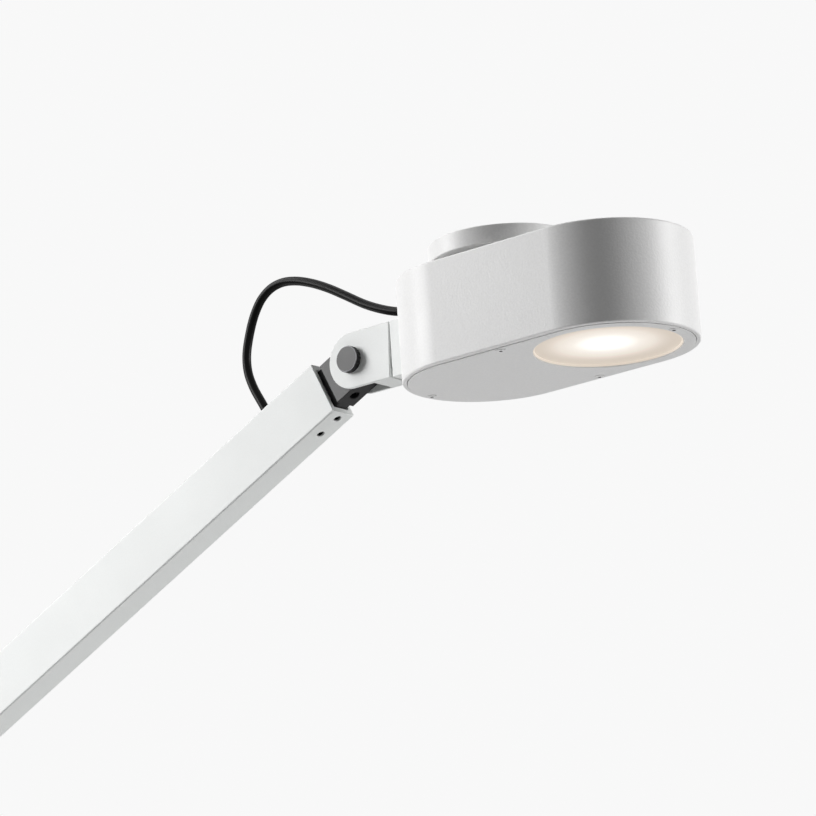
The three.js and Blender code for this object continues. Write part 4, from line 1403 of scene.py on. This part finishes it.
def make_housing(lamp):
    """Makes the housing, open below, with its holes and bosses."""
    head = lamp.head
    low, high = local_box("head_shell", HEAD)
    soft, seam, wall = head.rounding, head.seam, head.wall
    chain = [(wall, high.z - head.ceiling), (wall, seam), (wall - seam, 0)]
    shell = stacked(head_outline(), chain + rims(0, high.z, soft, soft, 6))
    start = local_box("bottom_plate", HEAD)[1].z + CLEARANCE
    top = start + head.boss_height
    bosses, tools = [], []
    for node in COVER_SCREWS:
        middle = local_middle(node, HEAD)
        here = at(middle.x, middle.y)
        bosses.append(moved(rod(head.boss / 2, start, top, 32), here))
        tapped = rod(clear_of(lamp.screws.plate_diameter), start - OVERCUT, top + OVERCUT, 24)
        tools.append(moved(tapped, here))
    bolt, bush = clear_of(head.bolt), clear_of(lamp.cable.bush)
    for node, radius, sides in (
        *[(node, bolt, 24) for node in pairs("fork_bolt")], ("head_gland", bush, 48),
    ):
        here = at(low.x, 0, local_middle(node, HEAD).z) @ BACKWARDS
        tools.append(moved(rod(radius, *REAR_HOLE, sides), here))
    for node, radius, chamfer in (
        ("drum_housing", head.neck_bore / 2, 0.3 * MM),
        ("dimmer_button", clear_of(head.button), 0.25 * MM),
    ):
        here = at(local_middle(node, HEAD).x, 0, high.z)
        tools.append(moved(drill(radius, 2 * head.ceiling, chamfer), here))
    return cut(fused(shell, *bosses), *tools)


def make_cover(lamp):
    """Makes the flat cover with its round window and countersinks."""
    head, screws = lamp.head, lamp.screws
    high = local_box("bottom_plate", HEAD)[1]
    gap = local_box("head_shell", HEAD)[1].y - high.y
    outline = head_outline()
    chain = rims(-head.proud, high.z, 0.1 * MM, head.seam, 1)
    plate = stacked(lambda inset: outline(gap + inset), chain)
    lens = local_box("down_lens", HEAD)
    window = bore(lens[1].y + CLEARANCE, -head.proud, high.z, 0.2 * MM)
    tools = [moved(window, at((lens[0].x + lens[1].x) / 2))]
    sink = countersink(screws.plate_diameter, high.z, screws)
    for node in COVER_SCREWS:
        middle = local_middle(node, HEAD)
        tools.append(moved(sink.copy(), at(middle.x, middle.y, -head.proud)))
    return cut(plate, *tools)


def make_block(lamp):
    """Makes the block between the fork and the housing, hollowed to the housing's round end."""
    low, high = local_box("head_block", MOUNT)
    x0, x1, top = low.x, high.x + 2 * OVERCUT, high.z

    def outline(inset):
        y = top - inset
        return [(x1, y), (x0 + inset, y), (x0 + inset, -y), (x1, -y)]

    block = slab(outline, high.y - low.y, lamp.hinges.fork_rounding)
    shape = head_outline()
    beyond = [(0, -60 * MM), (0, 120 * MM)]  # well past both faces of the block
    end = stacked(lambda inset: shape(inset - CLEARANCE), beyond)
    holes = bolt_holes(clear_of(lamp.head.bolt), x0 - OVERCUT, x1 + OVERCUT, 24)
    return cut(block, moved(end, Matrix.Translation(SHELL_MIDDLE)), *holes)


class LAMP_OT_housing(bpy.types.Operator):
    """Makes the head's housing, its cover, the block behind it and its cable gland"""

    bl_idname = "lamp.housing"
    bl_label = "Head housing"
    bl_options = {"REGISTER", "UNDO"}

    def execute(self, context):
        lamp = context.scene.lamp
        for name, mesh, place, coat, node in (
            ("housing", make_housing(lamp), HEAD, "white_coat", "head_shell"),
            ("cover", make_cover(lamp), HEAD, "white_coat", "bottom_plate"),
            ("mounting_block", make_block(lamp), MOUNT, "smooth_white", "head_block"),
        ):
            add_piece(name, mesh, place, coat, "head", "white_aluminium", node)
        low, high = local_box("head_gland", HEAD)
        wall = lamp.cable.rim
        ring = bushing(low.x + wall - high.x, wall)
        here = HEAD @ at(low.x + wall, 0, (low.z + high.z) / 2) @ BACKWARDS
        add_piece("gland", ring, here, "rubber", "head", "rubber", "head_gland")
        dress("bright_steel", "bolt_plate", *pairs("fork_bolt"))
        return {"FINISHED"}


# each ring's radius in millimetres and how many LEDs are on it
RINGS = {
    "down_led_board": ((0, 1), (7, 6), (14, 12), (20.5, 18)),
    "up_led_board": ((14, 10), (23, 16), (32, 22)),
}


def on_axis_of(node):
    """The place of a round piece's axis in the head."""
    return HEAD @ at(local_middle(node, HEAD).x)


def make_lenses(head):
    """Makes the two opal discs."""
    low, high = local_box("down_lens", HEAD)
    soft, lip, sunk = 0.35 * MM, 0.1 * MM, head.lens_sunk
    inner = high.y - head.lens_rim
    profile = [(inner, low.z), (inner, sunk + lip), (inner + lip, sunk)]
    profile += [(high.y - inset, z) for inset, z in rims(sunk, high.z, lip, soft, 4)]
    add_piece("lower_lens", turned(profile, 160), on_axis_of("down_lens"), "lit_opal",
              "head", "opal", "down_lens")
    low, high = local_box("up_lens", HEAD)
    add_piece("upper_lens", disc(high.y, rims(low.z, high.z, soft, soft, 4), 128),
              on_axis_of("up_lens"), "opal", "head", "opal", "up_lens")


def make_drum(head):
    """Makes the drum around the upper lens and the neck under it."""
    low, high = local_box("drum_housing", HEAD)
    radius, hole, soft = high.y, head.neck_bore / 2, head.drum_rounding
    inner, floor, lip = radius - head.drum_wall, low.z + head.drum_wall, 0.3 * MM
    profile = [(hole, low.z), (radius - 2 * soft, low.z)]
    profile += arc((radius - soft, low.z + soft), soft, -QUARTER, 0, 6)
    profile += arc((radius - soft, high.z - soft), soft, 0, QUARTER, 6)
    profile += [(inner + lip, high.z), (inner, high.z - lip), (inner, floor), (hole, floor)]
    place = on_axis_of("drum_housing")
    add_piece("drum", turned(profile, 160, closed=True), place, "white_coat", "head",
              "white_aluminium", "drum_housing")
    low, high = local_box("drum_neck", HEAD)
    radius, lip = high.y, 0.2 * MM
    profile = [(hole, low.z), (radius - lip, low.z), (radius, low.z + lip)]
    profile += [(radius, high.z - lip), (radius - lip, high.z), (hole, high.z)]
    # the neck's dark coat is painted shade for the deep shade in the gap under the drum
    add_piece("neck", turned(profile, 96, closed=True), place, "dark_coat", "head",
              "dark_aluminium", "drum_neck")


def make_boards():
    """Makes the LEDs in rings on both boards."""
    chip = stacked(lambda inset: oblong(3 * MM - 2 * inset, 2.4 * MM - 2 * inset, 0.3 * MM, 2),
                   rims(0.05 * MM, 0.85 * MM, 0, 0.15 * MM, 1))
    for node, side, turn in (("down_led_board", 0, DOWNWARDS), ("up_led_board", 1, WORLD)):
        dress("board_white", node)
        face = local_box(node, HEAD)[side].z
        places = [
            at(z=face) @ Matrix.Rotation(math.tau * i / count, 4, "Z") @ at(radius * MM) @ turn
            for radius, count in RINGS[node] for i in range(count)
        ]
        chips = copied(places, chip, "led_chip")
        add_piece(f"{node}_chips", chips, on_axis_of(node), None, "head", "board_white")


class LAMP_OT_lights(bpy.types.Operator):
    """Makes the down light's lens, and the round up light on top of the head"""

    bl_idname = "lamp.lights"
    bl_label = "Light units"
    bl_options = {"REGISTER", "UNDO"}

    def execute(self, context):
        head = context.scene.lamp.head
        make_lenses(head)
        make_drum(head)
        make_boards()
        dress("reflector_white", "down_reflector")
        dress("bare_aluminium", "heat_sink")
        return {"FINISHED"}


class LAMP_OT_controls(bpy.types.Operator):
    """Makes the dimmer's button, and dresses its switch and the driver"""

    bl_idname = "lamp.controls"
    bl_label = "Dimmer"
    bl_options = {"REGISTER", "UNDO"}

    def execute(self, context):
        head = context.scene.lamp.head
        low, high = local_box("dimmer_button", HEAD)
        radius, rim, top, soft = head.button / 2, high.y, high.z, 0.5 * MM
        shoulder = local_box("head_shell", HEAD)[1].z - head.ceiling - CLEARANCE
        profile = [(rim, low.z), (rim, shoulder), (radius, shoulder)]
        profile += arc((radius - soft, top - soft), soft, 0, QUARTER, 5)
        profile.append((0.7 * radius, top))
        profile += [(0.6 * radius, top - 0.12 * MM), (0.3 * radius, top - 0.25 * MM)]
        place = HEAD @ at((low.x + high.x) / 2)
        add_piece("dimmer", turned(profile, 80), place, "dark_coat", "dimmer_button",
                  "dark_aluminium", "dimmer_button")
        dress("black_plastic", "button_switch")
        dress("driver_case", "led_driver")
        return {"FINISHED"}


def make_lining(sizes):
    """Makes the blackened lining of a cover screw's hex socket."""
    diameter = sizes.plate_diameter
    radius, rise = diameter * sizes.socket / 2, diameter * sizes.rise
    floor = rise - SOCKET_DEPTH * diameter
    outside = hexagon(radius - 0.01 * MM, floor + 0.01 * MM, rise - 0.05 * MM)
    return cut(outside, hexagon(radius - 0.12 * MM, floor + 0.2 * MM, rise + OVERCUT))


def driven_ends(nodes, place, proud=0.0):
    """Places of the screws' driven ends, which look down in that place's frame."""
    places = []
    for node in nodes:
        low = local_box(node, place)[0]
        middle = local_middle(node, place)
        places.append(at(middle.x, middle.y, low.z - proud) @ DOWNWARDS)
    return places


class LAMP_OT_screws(bpy.types.Operator):
    """Makes the screws that show: set screws, clamp screws and the cover's screws"""

    bl_idname = "lamp.screws"
    bl_label = "Screws"
    bl_options = {"REGISTER", "UNDO"}

    def execute(self, context):
        lamp = context.scene.lamp
        sizes = lamp.screws
        set_blank = set_screw(sizes.set_diameter / 2, sizes.set_length,
                              sizes.set_hole * sizes.socket / 2, sizes.set_hole / 2)
        clamp_blank = set_screw(sizes.clamp_diameter / 2, sizes.clamp_length,
                                lamp.hinges.recess * sizes.socket / 2, 0.8 * sizes.clamp_length)
        for name, nodes, place, blank, body in (
            ("stand_set_screws", STAND_SCREWS, POST, set_blank, "stand"),
            ("arm_set_screws", ARM_SCREWS, ARM, set_blank, "arm"),
            ("elbow_clamp", ["elbow_clamp_screw"], POST, clamp_blank, "stand"),
            ("tilt_clamp", ["tilt_clamp_screw"], TIP, clamp_blank, "arm"),
        ):
            screws = copied(driven_ends(nodes, place), blank, "black_steel", math.tau)
            add_piece(name, screws, place, None, body, "black_steel", *nodes)
        blank = countersunk_screw(sizes.plate_diameter, sizes.plate_length, sizes)
        ends = driven_ends(COVER_SCREWS, HEAD, lamp.head.proud)
        covers = copied(ends, blank, "white_coat", math.tau)
        add_piece("cover_screws", covers, HEAD, None, "head", "white_steel", *COVER_SCREWS)
        sockets = copied(ends, make_lining(sizes), "black_steel", math.tau)
        add_piece("cover_screw_sockets", sockets, HEAD, None, "head", "black_steel")
        return {"FINISHED"}


class LAMP_PT_panel(bpy.types.Panel):
    """Lists the lamp's operators and settings"""

    bl_idname = "LAMP_PT_panel"
    bl_label = "Arm Floor Lamp"
    bl_space_type = "VIEW_3D"
    bl_region_type = "UI"
    bl_category = "Lamp"

    def draw(self, context):
        """Draws a button for each operator, then the settings in groups."""
        for operator in OPERATORS:
            self.layout.operator(operator.bl_idname)
        for name, group in SETTINGS.items():
            box = self.layout.box()
            box.label(text=name.capitalize())
            for key in group.__annotations__:
                box.prop(getattr(context.scene.lamp, name), key)


OPERATORS = (
    LAMP_OT_studio, LAMP_OT_head_cable, LAMP_OT_base, LAMP_OT_tubes, LAMP_OT_hinges,
    LAMP_OT_housing, LAMP_OT_lights, LAMP_OT_controls, LAMP_OT_screws,
)
CLASSES = (*SETTINGS.values(), LampSettings, *OPERATORS, LAMP_PT_panel)


def register():
    """Registers the lamp's classes and its settings."""
    for entry in CLASSES:
        bpy.utils.register_class(entry)
    bpy.types.Scene.lamp = PointerProperty(type=LampSettings)


def unregister():
    """Takes them out again."""
    del bpy.types.Scene.lamp
    for entry in reversed(CLASSES):
        bpy.utils.unregister_class(entry)


def main():
    """Makes the whole lamp and its stage."""
    register()
    for operator in OPERATORS:
        group, name = operator.bl_idname.split(".")
        getattr(getattr(bpy.ops, group), name)()


if __name__ == "__main__":
    main()
